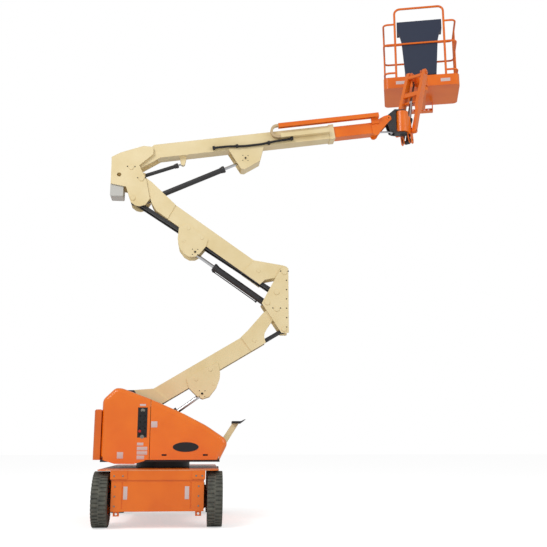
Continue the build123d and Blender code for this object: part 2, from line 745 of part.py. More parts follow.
def upper_upright():
    """Two outer plates, two inner lug plates for the short pins, and the wing at the rear."""
    x, z = TOP_LOWER
    outline = [
        (-423, 308), (-415, -84), (-208, -122), (-134, -345), (-75, -390), (-15, -402),
        (65, -378), (125, -288), (69, -13), (-36, 195), (155, 371), (145, 476), (13, 486),
        (-301, 376),
    ]
    piece = pair([(x + a, z + b) for a, b in outline], UPRIGHT_INNER, UPRIGHT_PLATE)
    lug = [
        (44, 120), (44, -225), (89, -228), (128, -260), (118, -300), (84, -312), (-131, -292),
        (-160, -250), (-95, -60), (-190, 150), (-165, 198), (-130, 205), (20, 122),
    ]
    piece += pair([(x + a, z + b) for a, b in lug], LUG_INNER, LUG_PLATE)
    inner = UPRIGHT_INNER
    piece += block(x - 422, x - 412, -inner, inner, z - 82, z + 300)
    piece += block(x - 412, x - 240, -inner, inner, z - 82, z - 72)
    piece -= bar_y(x - 309, z + 52, 30, -400, 400)
    for px, pz in (TOP_LOWER, BOOM_PIVOT, add(TOP_LOWER, UPPER_LINK_OFFSET)):
        piece += pinned(px, pz, UPRIGHT_INNER + UPRIGHT_PLATE)
    for px, pz in (LIFT_CYLINDER_FOOT, MASTER_CYLINDER_FOOT):
        piece += bar_y(px, pz, PIN_RADIUS, -LUG_INNER - LUG_PLATE, LUG_INNER + LUG_PLATE)
    return piece


def junction_box():
    x, z = TOP_LOWER
    box = block(x - 425, x - 245, -122, 122, z - 252, z - 82 - SEAT_GAP)
    return fillet(box.edges().filter_by(Axis.Y), 14)


# ---------------------------------------------------------------- cylinders


def local_point(origin, angle, point, left=False):
    a = radians(angle)
    if left:
        dx, dz = -point[0] * cos(a) + point[1] * sin(a), point[0] * sin(a) + point[1] * cos(a)
    else:
        dx, dz = point[0] * cos(a) - point[1] * sin(a), point[0] * sin(a) + point[1] * cos(a)
    return (origin[0] + dx, origin[1] + dz)


LIFT_ROD_EYE = (1612, -43)
MASTER_ROD_EYE = (725, 13)
LEVEL_FOOT = (3000, 220)     # levelling cylinder's foot inside the fly
LEVEL_PIN_OFFSET = (67, -179)
LEVEL_PIN = 14
NOSE = boom_point(*NOSE_PIVOT)

# foot and rod eye in (x, z), barrel radius, rod radius, barrel length, half width of the
# foot's eye, half width of the rod's cross tube, foot pin radius
CYLINDERS = {
    "lower_lift": (
        LOWER_CYLINDER_FOOT, local_point(TOWER_BASE, LOWER_ANGLE, LOWER_ROD_EYE),
        47, 25, 905, 58, 108, PIN_RADIUS,
    ),
    "mid_lift": (
        MID_CYLINDER_FOOT, local_point(MID_UPPER, UPPER_ANGLE, UPPER_ROD_EYE, left=True),
        45, 22, 900, 58, 108, PIN_RADIUS,
    ),
    "main_lift": (LIFT_CYLINDER_FOOT, boom_point(*LIFT_ROD_EYE), 38, 20, 1180, 31, 98, PIN_RADIUS),
    "master": (MASTER_CYLINDER_FOOT, boom_point(*MASTER_ROD_EYE), 26, 14, 545, 31, 19, PIN_RADIUS),
    "slave": (boom_point(*LEVEL_FOOT), add(NOSE, LEVEL_PIN_OFFSET), 24, 13, 500, 40, 48, LEVEL_PIN),
}
PIPE_SIDE = {"lower_lift": -1, "mid_lift": 1}
# length of rod inside each barrel at rest: its stroke out to the high limit, and 60 in the gland
INSERTED = {"lower_lift": 390, "mid_lift": 363, "main_lift": 546, "master": 224, "slave": 130}
SHANK = 62                   # from the foot's pin to where the barrel takes its full size
GLAND = 60


def barrel_shape(radius, rod, length, foot_half, pin=PIN_RADIUS, bore_from=SHANK + 20):
    """Barrel along +X from its foot pin, bored for the rod."""
    shank = min(radius, foot_half - 2)
    piece = bar_x(0, 0, shank, 0, SHANK + 1) + bar_x(0, 0, radius, SHANK, length)
    piece += bar_x(0, 0, radius + 6, length - GLAND, length)
    piece += bar_y(0, 0, pin + 15, -foot_half, foot_half)
    piece -= bar_x(0, 0, rod + RUN_GAP, bore_from, length + 1)
    return piece - bar_y(0, 0, pin + RUN_GAP, -200, 200)


def feed_pipe(radius, length, side):
    """Steel pipe above (1) or below (-1) a barrel, from its foot's port to its gland's."""
    z = side * (radius + 14)
    pipe = bar_x(0, z, 7, 130, length - 20)
    for x in (130, length - 44):
        pipe += block(x, x + 24, -12, 12, *sorted((side * (radius - 3), z + side * 10)))
    return pipe


EYE_RIM = 12                 # how far a rod's eye stands out from the rod


def rod_shape(rod, start, total, eye_half):
    """Rod welded to a cross tube that holds its pin and ends just short of the side plates."""
    return bar_x(0, 0, rod, start, total) + bar_y(total, 0, rod + EYE_RIM, -eye_half, eye_half)


def cylinder_barrel(name):
    foot, tip, radius, rod, length, foot_half, eye_half, pin = CYLINDERS[name]
    total, angle = span(foot, tip)
    barrel = barrel_shape(radius, rod, length, foot_half, pin)
    if name in PIPE_SIDE:
        barrel += feed_pipe(radius, length, PIPE_SIDE[name])
    return right_frame(foot, angle) * barrel


def cylinder_rod(name):
    foot, tip, radius, rod, length, foot_half, eye_half, pin = CYLINDERS[name]
    total, angle = span(foot, tip)
    return right_frame(foot, angle) * rod_shape(rod, length - INSERTED[name], total, eye_half)


# ---------------------------------------------------------------- main boom

BOOM_EAR = 16
MASTER_LUG_INNER = 20
MASTER_LUG_PLATE = 10
COLLAR_LENGTH = 75
PAD_LENGTH = 60
CHEEK_START = 3525           # the fly's cheeks, which stop short of the collar when it is in


def main_boom_base():
    low, high = BOOM_LOW, BOOM_LOW + BOOM_DEPTH
    half = BOOM_HALF_WIDTH
    piece = box_tube(BOOM_START, BOOM_END, half, low, high, BOOM_WALL)
    piece -= slab([(300, high + 1), (300, low - 1), (397, low + 11), (356, high + 1)], -200, 200)
    collar = block(BOOM_END - COLLAR_LENGTH, BOOM_END, -half - 10, half + 10, low - 10, high + 10)
    collar -= block(
        BOOM_END - COLLAR_LENGTH - 1, BOOM_END + 1, -FLY_HALF_WIDTH - PAD_GAP,
        FLY_HALF_WIDTH + PAD_GAP, FLY_LOW - PAD_GAP, FLY_LOW + FLY_DEPTH + PAD_GAP,
    )
    ears = [
        (0, 52), (-45, 28), (-45, -28), (0, -52), (60, -44), (420, low), (420, high), (358, high),
    ]
    piece += collar + pair(ears, half - BOOM_EAR, BOOM_EAR)
    piece += bosses(((0, 0),), 46, half - 1, UPRIGHT_INNER - half - 1)
    bracket = [
        (1392, low), (1527, -194), (1575, -208), (1813, -107), (1912, low + 20), (1392, low + 20),
    ]
    piece += pair(bracket, half, PLATE)
    foot = [(1530, -192), (1575, -206), (1813, -105), (1809, -95), (1575, -195), (1534, -182)]
    piece += slab(foot, -half, half)
    lug = [(690, low + 1), (700, -8), (725, -20), (750, -8), (790, low + 1)]
    piece += pair(lug, MASTER_LUG_INNER, MASTER_LUG_PLATE)
    piece -= bore(0, 0)
    piece += bosses((LIFT_ROD_EYE,), 24, half + PLATE, 5)
    return BOOM_FRAME * piece


TRAY_NEAR = -176
TRAY_FAR = -112
TRACK_LOW = 190.3
TRACK_HIGH = 394
TRACK_DEPTH = 34
TRACK_BEND_X = 2125


def track_tray():
    """Open tray on the boom's near side that the power track lies in."""
    tray = block(2160, 2870, TRAY_NEAR, TRAY_FAR, 186, 246)
    tray -= block(2159, 2871, TRAY_NEAR + 4, TRAY_FAR - 4, 190, 247)
    for x in (2230, 2700):
        tray += block(x, x + 50, TRAY_FAR - 1, -BOOM_HALF_WIDTH - SEAT_GAP, 190, 244)
    return BOOM_FRAME * tray


CABLE_RADIUS = 16
CABLE_Y = -134
# (x, z) of the cables' runs in the boom's frame
CABLE_RUN = [(1180, 152), (1400, 150), (1620, 128), (1860, 128), (2080, 150), (2320, 160)]
CABLE_BEND = 900


def boom_cables():
    """Cables in one sleeve, clipped along the boom from their gland to the power track."""
    route = [(x, CABLE_Y, z) for x, z in CABLE_RUN]
    piece = tube_path(route, CABLE_RADIUS, CABLE_BEND)
    for x, z, depth in ((1168, 152, 0), (1500, 140, PLATE), (1960, 138, 0)):
        piece += block(
            x, x + 32, CABLE_Y - 22, -BOOM_HALF_WIDTH - depth - SEAT_GAP, z - 21, z + 21
        )
    tray_bottom = 186
    piece += block(2300, 2336, CABLE_Y - 20, CABLE_Y + 20, 141, tray_bottom - SEAT_GAP)
    return BOOM_FRAME * piece


def power_track():
    """Chain of hollow links laid in a hairpin, from the tray up into the fly's channel."""
    near, far = TRAY_NEAR + 7, TRAY_FAR - 7
    centre, outer = (TRACK_LOW + TRACK_HIGH) / 2, (TRACK_HIGH - TRACK_LOW) / 2
    bend = bar_y(TRACK_BEND_X, centre, outer, near, far)
    bend -= bar_y(TRACK_BEND_X, centre, outer - TRACK_DEPTH, near - 1, far + 1)
    bend -= block(TRACK_BEND_X, 2500, near - 1, far + 1, TRACK_LOW - 1, TRACK_HIGH + 1)
    lower = block(TRACK_BEND_X, 2530, near, far, TRACK_LOW, TRACK_LOW + TRACK_DEPTH)
    upper = block(TRACK_BEND_X, 2750, near, far, TRACK_HIGH - TRACK_DEPTH, TRACK_HIGH)
    return BOOM_FRAME * (bend + lower + upper)


def fly_boom():
    low, high = FLY_LOW, FLY_LOW + FLY_DEPTH
    half = FLY_HALF_WIDTH
    piece = box_tube(FLY_START, FLY_END, half, low, high, FLY_WALL)
    reach_side = BOOM_HALF_WIDTH - BOOM_WALL - PAD_GAP
    shoe = block(
        FLY_START, FLY_START + PAD_LENGTH, -reach_side, reach_side,
        BOOM_LOW + BOOM_WALL + PAD_GAP, BOOM_LOW + BOOM_DEPTH - BOOM_WALL - PAD_GAP,
    )
    piece += shoe - block(
        FLY_START - 1, FLY_START + PAD_LENGTH + 1, -half + FLY_WALL, half - FLY_WALL,
        low + FLY_WALL, high - FLY_WALL,
    )
    nose_x, nose_z = NOSE_PIVOT
    cheek = [
        (CHEEK_START, low), (CHEEK_START, high), (3600, high + 20), (nose_x - 60, nose_z + 40),
        (nose_x, nose_z + 50), (nose_x + 40, nose_z + 22), (nose_x + 40, nose_z - 22),
        (nose_x, nose_z - 50), (3650, 150), (3610, 100), (3575, 86), (CHEEK_START + 15, 94),
    ]
    piece += pair(cheek, half, PLATE)
    piece += pinned(nose_x, nose_z, half + PLATE, 8)
    x, z = LEVEL_FOOT
    piece += bar_y(x, z, 14, -half + 1, half - 1)
    return BOOM_FRAME * piece


def fly_track_tube():
    """Channel, open below, that carries the power track's upper run on the fly."""
    channel = block(2150, 3640, TRAY_NEAR, TRAY_FAR, 340, 402)
    channel -= block(2149, 3600, TRAY_NEAR + 4, TRAY_FAR - 4, 339, 398)
    start, end = CHEEK_START + 5, CHEEK_START + 115
    arm = block(start, end, TRAY_FAR - 1, -FLY_HALF_WIDTH - PLATE - SEAT_GAP, 262, 342)
    arm += block(start, end, TRAY_NEAR + 20, -FLY_HALF_WIDTH - PLATE - SEAT_GAP, 330, 342)
    return BOOM_FRAME * (channel + arm)


# ---------------------------------------------------------------- nose and jib

JIB_AXIS = NOSE[0] + JIB_AXIS_X
jib_heading = (cos(radians(JIB_SWING)), sin(radians(JIB_SWING)))
JIB_FOOT = (JIB_AXIS + JIB_PIVOT_REACH * jib_heading[0], JIB_PIVOT_REACH * jib_heading[1])
jib_reach = JIB_LENGTH * cos(radians(JIB_ANGLE))
JIB_TOP = (
    JIB_FOOT[0] + jib_reach * jib_heading[0],
    JIB_FOOT[1] + jib_reach * jib_heading[1],
    JIB_PIVOT_Z + JIB_LENGTH * sin(radians(JIB_ANGLE)),
)
TURN_AXIS = (
    JIB_TOP[0] + SUPPORT_REACH * jib_heading[0], JIB_TOP[1] + SUPPORT_REACH * jib_heading[1]
)
JIB_FRAME = Pos(JIB_FOOT[0], JIB_FOOT[1], JIB_PIVOT_Z) * Rot(0, 0, JIB_SWING)
SUPPORT_FRAME = Pos(*JIB_TOP) * Rot(0, 0, JIB_SWING)
PLATFORM_FRAME = Pos(TURN_AXIS[0], TURN_AXIS[1], PLATFORM_FLOOR_Z) * Rot(0, 0, PLATFORM_TURN)
JIB_PIN = 15
JIB_LUG_INNER = 36
JIB_LUG_PLATE = 13
NOSE_INNER = 50
NOSE_PLATE = 18
YOKE_EAR = 24
YOKE_RADIUS = 74


def stub_pins(x, z, radius, y_inner, y_outer):
    """Short pins in line, one on each side, so that what is between them swings free."""
    return bar_y(x, z, radius, y_inner, y_outer) + bar_y(x, z, radius, -y_outer, -y_inner)


def nose_bracket():
    """Levelled yoke at the fly's end that holds the jib's swing shaft above and below."""
    x, z = NOSE
    low, high = ROTATOR_LOW - 2 - YOKE_EAR, ROTATOR_HIGH + 2 + YOKE_EAR
    back = JIB_AXIS - ROTATOR_RADIUS - 6
    web = [
        (x - 44, z), (x - 30, z + 38), (back - 16, high), (back, high), (back, low),
        (x + LEVEL_PIN_OFFSET[0] + 6, z + LEVEL_PIN_OFFSET[1] - 34),
        (x + LEVEL_PIN_OFFSET[0] - 34, z + LEVEL_PIN_OFFSET[1] - 20), (x - 32, z - 34),
    ]
    piece = pair(web, NOSE_INNER, NOSE_PLATE)
    piece += block(back - 14, back, -NOSE_INNER, NOSE_INNER, z - 110, high)
    for ear_low, ear_high in ((high - YOKE_EAR, high), (low, low + YOKE_EAR)):
        half = NOSE_INNER + NOSE_PLATE
        piece += block(back - 14, JIB_AXIS, -half, half, ear_low, ear_high)
        piece += bar_z(JIB_AXIS, 0, YOKE_RADIUS, ear_low, ear_high)
    piece += bar_z(JIB_AXIS, 0, SWING_SHAFT, low - 8, high + 8)
    pin_x, pin_z = add(NOSE, LEVEL_PIN_OFFSET)
    piece -= bore(x, z)
    return piece + bosses(((pin_x, pin_z),), 20, NOSE_INNER + NOSE_PLATE, 6)


def jib_rotator():
    """Swing housing on the nose's shaft, with the pins of the jib, its links and its cylinder."""
    axis_x, half = -JIB_PIVOT_REACH, JIB_SPREAD + JIB_ARM_WIDTH / 2
    low, high = ROTATOR_LOW - JIB_PIVOT_Z, ROTATOR_HIGH - JIB_PIVOT_Z
    piece = bar_z(axis_x, 0, ROTATOR_RADIUS, low, high)
    piece += block(axis_x, -48, -ROTATOR_RADIUS, ROTATOR_RADIUS, low, high - 60)
    side = [
        (axis_x + 20, low), (axis_x + 20, high - 60), (-48, high - 60), (30, 36), (62, -100),
        (66, -160), (39, -184), (6, -172), (-20, low),
    ]
    piece += pair(side, JIB_LINK_INNER + JIB_LINK_THICKNESS + 3, 16)
    inner = JIB_LINK_INNER + JIB_LINK_THICKNESS + 3
    piece += stub_pins(0, 0, PIN_RADIUS, inner, half + RUN_GAP)
    piece += bosses(((0, 0),), PIN_HEAD_RADIUS, half + RUN_GAP, PIN_HEAD)
    piece += stub_pins(*JIB_LINK_OFFSET, JIB_PIN, JIB_LINK_INNER - 3, inner + 20)
    lug = [(-50, low), (-50, -20), (20, -118), (54, -132), (62, -150), (39, -169), (8, -160)]
    piece += pair(lug, JIB_LUG_INNER, JIB_LUG_PLATE)
    piece += bar_y(*JIB_CYLINDER_FOOT, JIB_PIN, -JIB_LUG_INNER - 1, JIB_LUG_INNER + 1)
    return JIB_FRAME * (piece - bar_z(axis_x, 0, SWING_SHAFT + RUN_GAP, -300, 500))


def jib_arm():
    """Two box arms, narrow beside the swing housing, then deep and tapering to the top."""
    length = JIB_LENGTH
    outline = [
        (-38, -22), (-38, 22), (-20, 34), (60, 40), (390, 40), (455, 84), (1190, 56), (length + 30, 44),
        (length + 52, 10), (length + 48, -24), (length + 10, -50), (430, -66), (380, -36),
        (60, -40), (-20, -36),
    ]
    inner = JIB_SPREAD - JIB_ARM_WIDTH / 2
    arms = pair(outline, inner, JIB_ARM_WIDTH)
    arms += block(690, 780, -inner, inner, 42, 66)
    arms += block(length - 120, length - 62, -inner, inner, 34, 54)
    arms += stub_pins(JIB_ROD_REACH, 0, 18, 22, inner)
    arms -= bore(0, 0) + bore(length, 0)
    return JIB_FRAME * Rot(0, -JIB_ANGLE, 0) * arms


def jib_level_link():
    bars = link(JIB_LENGTH, JIB_LINK_INNER, JIB_LINK_THICKNESS, 34, 26, pin=JIB_PIN)
    return JIB_FRAME * Pos(JIB_LINK_OFFSET[0], 0, JIB_LINK_OFFSET[1]) * Rot(0, -JIB_ANGLE, 0) * bars


JIB_CYLINDER = (32, 18, 430, 34, 21)
JIB_BORE_FROM = 46
JIB_INSERTED = 104
jib_rod_eye = (
    JIB_ROD_REACH * cos(radians(JIB_ANGLE)), JIB_ROD_REACH * sin(radians(JIB_ANGLE))
)
JIB_CYLINDER_LENGTH, JIB_CYLINDER_ANGLE = span(JIB_CYLINDER_FOOT, jib_rod_eye)
JIB_CYLINDER_PLACE = (
    JIB_FRAME * Pos(JIB_CYLINDER_FOOT[0], 0, JIB_CYLINDER_FOOT[1])
    * Rot(0, -JIB_CYLINDER_ANGLE, 0)
)


def jib_lift_barrel():
    radius, rod, length, foot_half, eye_half = JIB_CYLINDER
    piece = barrel_shape(radius, rod, length, foot_half, JIB_PIN, JIB_BORE_FROM)
    return JIB_CYLINDER_PLACE * piece


def jib_lift_rod():
    radius, rod, length, foot_half, eye_half = JIB_CYLINDER
    start = length - JIB_INSERTED
    return JIB_CYLINDER_PLACE * rod_shape(rod, start, JIB_CYLINDER_LENGTH, eye_half)


# ---------------------------------------------------------------- work platform


def platform_support():
    """Levelled bracket on the jib's top, which holds the platform's turning shaft."""
    inner = JIB_LINK_INNER + JIB_LINK_THICKNESS + 4
    cheek = [
        (-44, 0), (-30, 34), (0, 46), (SUPPORT_REACH - 60, 46), (SUPPORT_REACH - 60, -150),
        (JIB_LINK_OFFSET[0] + 20, -160), (JIB_LINK_OFFSET[0] - 30, -140), (-34, -30),
    ]
    piece = pair(cheek, inner, 15)
    piece += bar_z(SUPPORT_REACH, 0, 88, -140, 40)
    piece += block(SUPPORT_REACH - 78, SUPPORT_REACH - 58, -inner, inner, -150, 46)
    piece += bar_z(SUPPORT_REACH, 0, TURN_SHAFT, -226, 40)
    piece += stub_pins(*JIB_LINK_OFFSET, JIB_PIN, JIB_LINK_INNER - 3, inner + 18)
    half = JIB_SPREAD + JIB_ARM_WIDTH / 2
    piece += stub_pins(0, 0, PIN_RADIUS, inner, half + RUN_GAP)
    piece += bosses(((0, 0),), PIN_HEAD_RADIUS, half + RUN_GAP, PIN_HEAD)
    return SUPPORT_FRAME * piece


def rail(points, bend=70):
    return tube_path(points, RAIL_RADIUS, bend)


def lanyard_anchor(x, y):
    """Plate with an eye, welded on a leg of the hoop, for a harness lanyard."""
    plate = block(x + 8, x + 62, y - ANCHOR_HALF, y + ANCHOR_HALF, ANCHOR_Z - 28, ANCHOR_Z + 28)
    return plate - bar_y(x + ANCHOR_REACH, ANCHOR_Z, ANCHOR_EYE, y - 50, y + 50)


def platform_frame():
    """Floor pan, toe boards, guard rails, hoop, step and the arm that it turns on."""
    near, far, half = PLATFORM_OFFSET, PLATFORM_OFFSET + PLATFORM_DEPTH, PLATFORM_WIDTH / 2
    middle = Pos((near + far) / 2, 0, 0)
    plan = RectangleRounded(PLATFORM_DEPTH, PLATFORM_WIDTH, PLATFORM_CORNER)
    inside = RectangleRounded(
        PLATFORM_DEPTH - 2 * TOE_WALL, PLATFORM_WIDTH - 2 * TOE_WALL, PLATFORM_CORNER - TOE_WALL
    )
    piece = extrude(middle * plan, FLOOR_THICKNESS)
    piece += middle * Pos(0, 0, FLOOR_THICKNESS) * extrude(plan - inside, TOE_BOARD - FLOOR_THICKNESS)
    x0, x1 = near + RAIL_RADIUS + TOE_WALL, far - RAIL_RADIUS - TOE_WALL
    y1, gate = half - RAIL_RADIUS - TOE_WALL, GATE_HALF_WIDTH
    hoop = HOOP_HALF_WIDTH
    for side in (-1, 1):
        top = [(x1, side * gate, TOP_RAIL), (x1, side * y1, TOP_RAIL), (x0, side * y1, TOP_RAIL),
               (x0, side * hoop, TOP_RAIL)]
        knee = [(x1, side * gate, KNEE_RAIL), (x1, side * y1, KNEE_RAIL),
                (x0, side * y1, KNEE_RAIL), (x0, side * hoop, KNEE_RAIL)]
        low = [(x1, side * gate, LOW_RAIL), (x1, side * y1, LOW_RAIL), (x0, side * y1, LOW_RAIL),
               (x0, side * hoop, LOW_RAIL)]
        for points in (top, knee, low):
            piece += rail(points)
        posts = ((x1, side * gate), ((x0 + x1) / 2, side * y1), (x1 - 90, side * y1))
        for x, y in posts:
            piece += bar_z(x, y, POST_RADIUS, FLOOR_THICKNESS - 4, TOP_RAIL)
    piece += bar_y(x0, KNEE_RAIL, CROSS_RAIL_RADIUS, -hoop, hoop)
    foot = FLOOR_THICKNESS - 4
    hoop_path = [(x0, -hoop, foot), (x0, -hoop, HOOP_TOP), (x0, hoop, HOOP_TOP), (x0, hoop, foot)]
    piece += tube_path(hoop_path, HOOP_RADIUS, 90)
    # arm below the floor, with the bearing that the support's shaft stands in
    low, high = TURN_HUB
    arm = bar_z(0, 0, TURN_HUB_RADIUS, low, high) + block(0, near + 460, -60, 60, low, high)
    for x in (near + 60, near + 400):
        arm += block(x, x + 60, -60, 60, high - 1, 1)
    piece += arm - bar_z(0, 0, TURN_SHAFT + RUN_GAP, low - 1, 0)
    for side in (-1, 1):
        piece += lanyard_anchor(x0, side * hoop)
    # step below the gate: a channel with a row of holes
    step = block(far - 110, far - 10, -200, 200, -150, -138) + block(
        far - 22, far - 10, -200, 200, -150, -70
    )
    for y in (-200, 188):
        step += block(far - 110, far - 10, y, y + 12, -150, 1)
    for y in (-130, -65, 0, 65, 130):
        step -= bar_x(y, -108, 22, far - 30, far)
    return PLATFORM_FRAME * (piece + step)


def platform_gate():
    """Gate in the far rail, hung on one post and swinging inwards."""
    x1 = PLATFORM_OFFSET + PLATFORM_DEPTH - RAIL_RADIUS - TOE_WALL
    edge = GATE_HALF_WIDTH - RAIL_RADIUS - GATE_GAP
    low, high = TOE_BOARD + 40, TOP_RAIL
    post = edge - RAIL_RADIUS
    gate = bar_z(x1, -post, RAIL_RADIUS, low, high) + bar_z(x1, post, RAIL_RADIUS, low, high)
    for z in (low, KNEE_RAIL, high - 10):
        gate += bar_y(x1, z, RAIL_RADIUS, -post, post)
    for z in (low + 120, high - 160):
        gate += block(x1 - 8, x1 + 8, post, GATE_HALF_WIDTH - POST_RADIUS - SEAT_GAP, z, z + 50)
    return PLATFORM_FRAME * gate


def platform_console():
    """Control box behind the hoop: a wide lid over a body that narrows to the floor."""
    x0 = PLATFORM_OFFSET + TOE_WALL + RAIL_RADIUS + CROSS_RAIL_RADIUS + SEAT_GAP
    outline = [
        (-365, 1030), (-365, 1196), (365, 1196), (365, 1030), (320, 950), (295, 839), (250, 219),
        (-250, 219), (-295, 839), (-320, 950),
    ]
    face = make_face(Polyline(*outline, close=True))
    body = extrude(Plane.YZ.offset(x0) * face, 70)
    lid = extrude(
        Plane.XZ.offset(-365)
        * make_face(Polyline((x0, 1030), (x0, 1196), (x0 + 60, 1206), (x0 + 250, 1130),
                             (x0 + 250, 1060), (x0 + 210, 1030), close=True)),
        730,
    )
    return PLATFORM_FRAME * (body + lid)


# ---------------------------------------------------------------- write the pieces

half_track, half_base = TRACK / 2, WHEEL_BASE / 2
# the middle of each wheel in (x, y)
WHEELS = {
    "drive_left": (-half_track, -half_base),
    "drive_right": (half_track, -half_base),
    "steer_left": (-half_track, half_base),
    "steer_right": (half_track, half_base),
}
NODES = {
    "knuckle_left": knuckle(-1),
    "knuckle_right": knuckle(1),
    "front_cover_near": front_cover(-1),
    "front_cover_far": front_cover(1),
}
for make in (
    chassis_frame, drive_hubs, steer_axle, tie_rod, slew_ring, turntable_frame, counterweight,
    battery_packs, rear_covers, ground_controls, boom_rest, boom_rest_pad, lower_tower_boom,
    lower_tower_link, mid_upright, upper_tower_boom, upper_tower_link, upper_upright,
    junction_box, main_boom_base, track_tray, power_track, fly_boom, fly_track_tube,
    boom_cables, nose_bracket, jib_rotator, jib_arm, jib_level_link, jib_lift_barrel, jib_lift_rod,
    platform_support, platform_frame, platform_gate, platform_console,
):
    NODES[make.__name__] = make()
for wheel, (wheel_x, wheel_y) in WHEELS.items():
    NODES["tyre_" + wheel] = tyre(wheel_x, wheel_y)
    NODES["rim_" + wheel] = rim(wheel_x, wheel_y)
for ram in CYLINDERS:
    NODES[ram + "_barrel"] = cylinder_barrel(ram)
    NODES[ram + "_rod"] = cylinder_rod(ram)

os.makedirs("parts", exist_ok=True)
for node, piece in NODES.items():
    export_step(piece, f"parts/{node}.step")
print(len(NODES), "pieces written")
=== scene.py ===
import bpy
import json
from math import cos, pi, radians, sin
from mathutils import Matrix, Vector


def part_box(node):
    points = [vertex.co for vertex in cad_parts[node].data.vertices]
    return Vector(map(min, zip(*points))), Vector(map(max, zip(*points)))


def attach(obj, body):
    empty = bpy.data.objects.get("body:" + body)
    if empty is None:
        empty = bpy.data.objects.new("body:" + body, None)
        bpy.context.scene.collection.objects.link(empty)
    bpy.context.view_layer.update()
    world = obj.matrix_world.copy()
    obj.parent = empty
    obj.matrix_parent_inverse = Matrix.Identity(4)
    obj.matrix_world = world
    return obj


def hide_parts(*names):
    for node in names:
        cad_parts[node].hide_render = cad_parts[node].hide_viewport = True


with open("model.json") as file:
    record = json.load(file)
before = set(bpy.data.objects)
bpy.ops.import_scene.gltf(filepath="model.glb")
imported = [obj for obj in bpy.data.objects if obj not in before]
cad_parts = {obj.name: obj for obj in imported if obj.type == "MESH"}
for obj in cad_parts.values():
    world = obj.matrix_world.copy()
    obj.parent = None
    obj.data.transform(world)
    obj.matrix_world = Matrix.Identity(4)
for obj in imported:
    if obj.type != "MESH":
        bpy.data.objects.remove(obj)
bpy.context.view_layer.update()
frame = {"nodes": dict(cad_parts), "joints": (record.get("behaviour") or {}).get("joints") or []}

# ---------------------------------------------------------------- studio
# A pale seamless floor under two large soft panels and a bright room. The camera stands low
# at the near end of the chassis and looks up along the booms.


def deselect():
    bpy.ops.object.select_all(action="DESELECT")


def linear(shade):
    """An sRGB hex colour as linear red, green, blue and alpha."""
    parts = [int(shade[i:i + 2], 16) / 255 for i in (0, 2, 4)]
    return tuple(p / 12.92 if p <= 0.04045 else ((p + 0.055) / 1.055) ** 2.4 for p in parts) + (1.0,)


def node(material, kind, inputs=None, **settings):
    """Adds a shader node with its settings, its values and the links into it."""
    made = material.node_tree.nodes.new(kind)
    for key, value in settings.items():
        setattr(made, key, value)
    for key, value in (inputs or {}).items():
        if isinstance(value, bpy.types.NodeSocket):
            material.node_tree.links.new(value, made.inputs[key])
        else:
            made.inputs[key].default_value = value
    return made


deselect()
bpy.ops.mesh.primitive_plane_add(size=80, location=(0, 20, -0.001))
floor = bpy.context.object
floor.name = "studio_floor"
floor_paint = bpy.data.materials.new("white_matt_floor_paint")
floor_paint.use_nodes = True
floor_paint.node_tree.nodes.clear()
seen = node(floor_paint, "ShaderNodeLightPath")
matt = node(floor_paint, "ShaderNodeBsdfDiffuse", {"Color": linear("F4F4F4")})
glow = node(floor_paint, "ShaderNodeEmission", {"Color": (1, 1, 1, 1), "Strength": 0.52})
dark = node(floor_paint, "ShaderNodeEmission", {"Color": (0, 0, 0, 1), "Strength": 0.0})
lift = node(floor_paint, "ShaderNodeMixShader", {
    0: seen.outputs["Is Camera Ray"], 1: dark.outputs[0], 2: glow.outputs[0],
})
both = node(floor_paint, "ShaderNodeAddShader", {0: matt.outputs[0], 1: lift.outputs[0]})
node(floor_paint, "ShaderNodeOutputMaterial", {"Surface": both.outputs[0]})
floor.data.materials.append(floor_paint)

room = bpy.data.worlds.new("white_room")
bpy.context.scene.world = room
room.use_nodes = True
room.node_tree.nodes.clear()
seen = node(room, "ShaderNodeLightPath")
soft = node(room, "ShaderNodeBackground", {"Color": (1, 1, 1, 1), "Strength": 0.5})
white = node(room, "ShaderNodeBackground", {"Color": (1, 1, 1, 1), "Strength": 1.0})
pick = node(room, "ShaderNodeMixShader", {
    0: seen.outputs["Is Camera Ray"], 1: soft.outputs[0], 2: white.outputs[0],
})
node(room, "ShaderNodeOutputWorld", {"Surface": pick.outputs[0]})

for name, place, aim, size, power in (
    ("key_panel", (-5.5, -8.5, 10.0), (0.6, 0, 3.4), 5.0, 520),
    ("fill_panel", (8.5, -7.0, 6.0), (1.2, 0, 4.0), 6.0, 190),
):
    lamp = bpy.data.lights.new(name, "AREA")
    lamp.shape, lamp.size, lamp.energy = "SQUARE", size, power
    holder = bpy.data.objects.new(name, lamp)
    holder.location = place
    holder.rotation_euler = (Vector(aim) - Vector(place)).to_track_quat("-Z", "Y").to_euler()
    bpy.context.scene.collection.objects.link(holder)

lens = bpy.data.cameras.new("camera")
lens.lens, lens.sensor_width = 51.33, 36.0
lens.clip_end = 200
camera = bpy.data.objects.new("camera", lens)
camera.location = (0.4706, -10.619, 0.954)
camera.rotation_euler = (radians(90 + 12.298), 0, radians(-5.295))
bpy.context.scene.collection.objects.link(camera)
bpy.context.scene.camera = camera
bpy.context.scene.view_settings.view_transform = "Standard"

# ---------------------------------------------------------------- chassis
# A welded steel box under a flat deck, sprayed in orange enamel after welding. The near end has
# a header bar, two slots and a blank plate beside each slot; its corners are bolted.


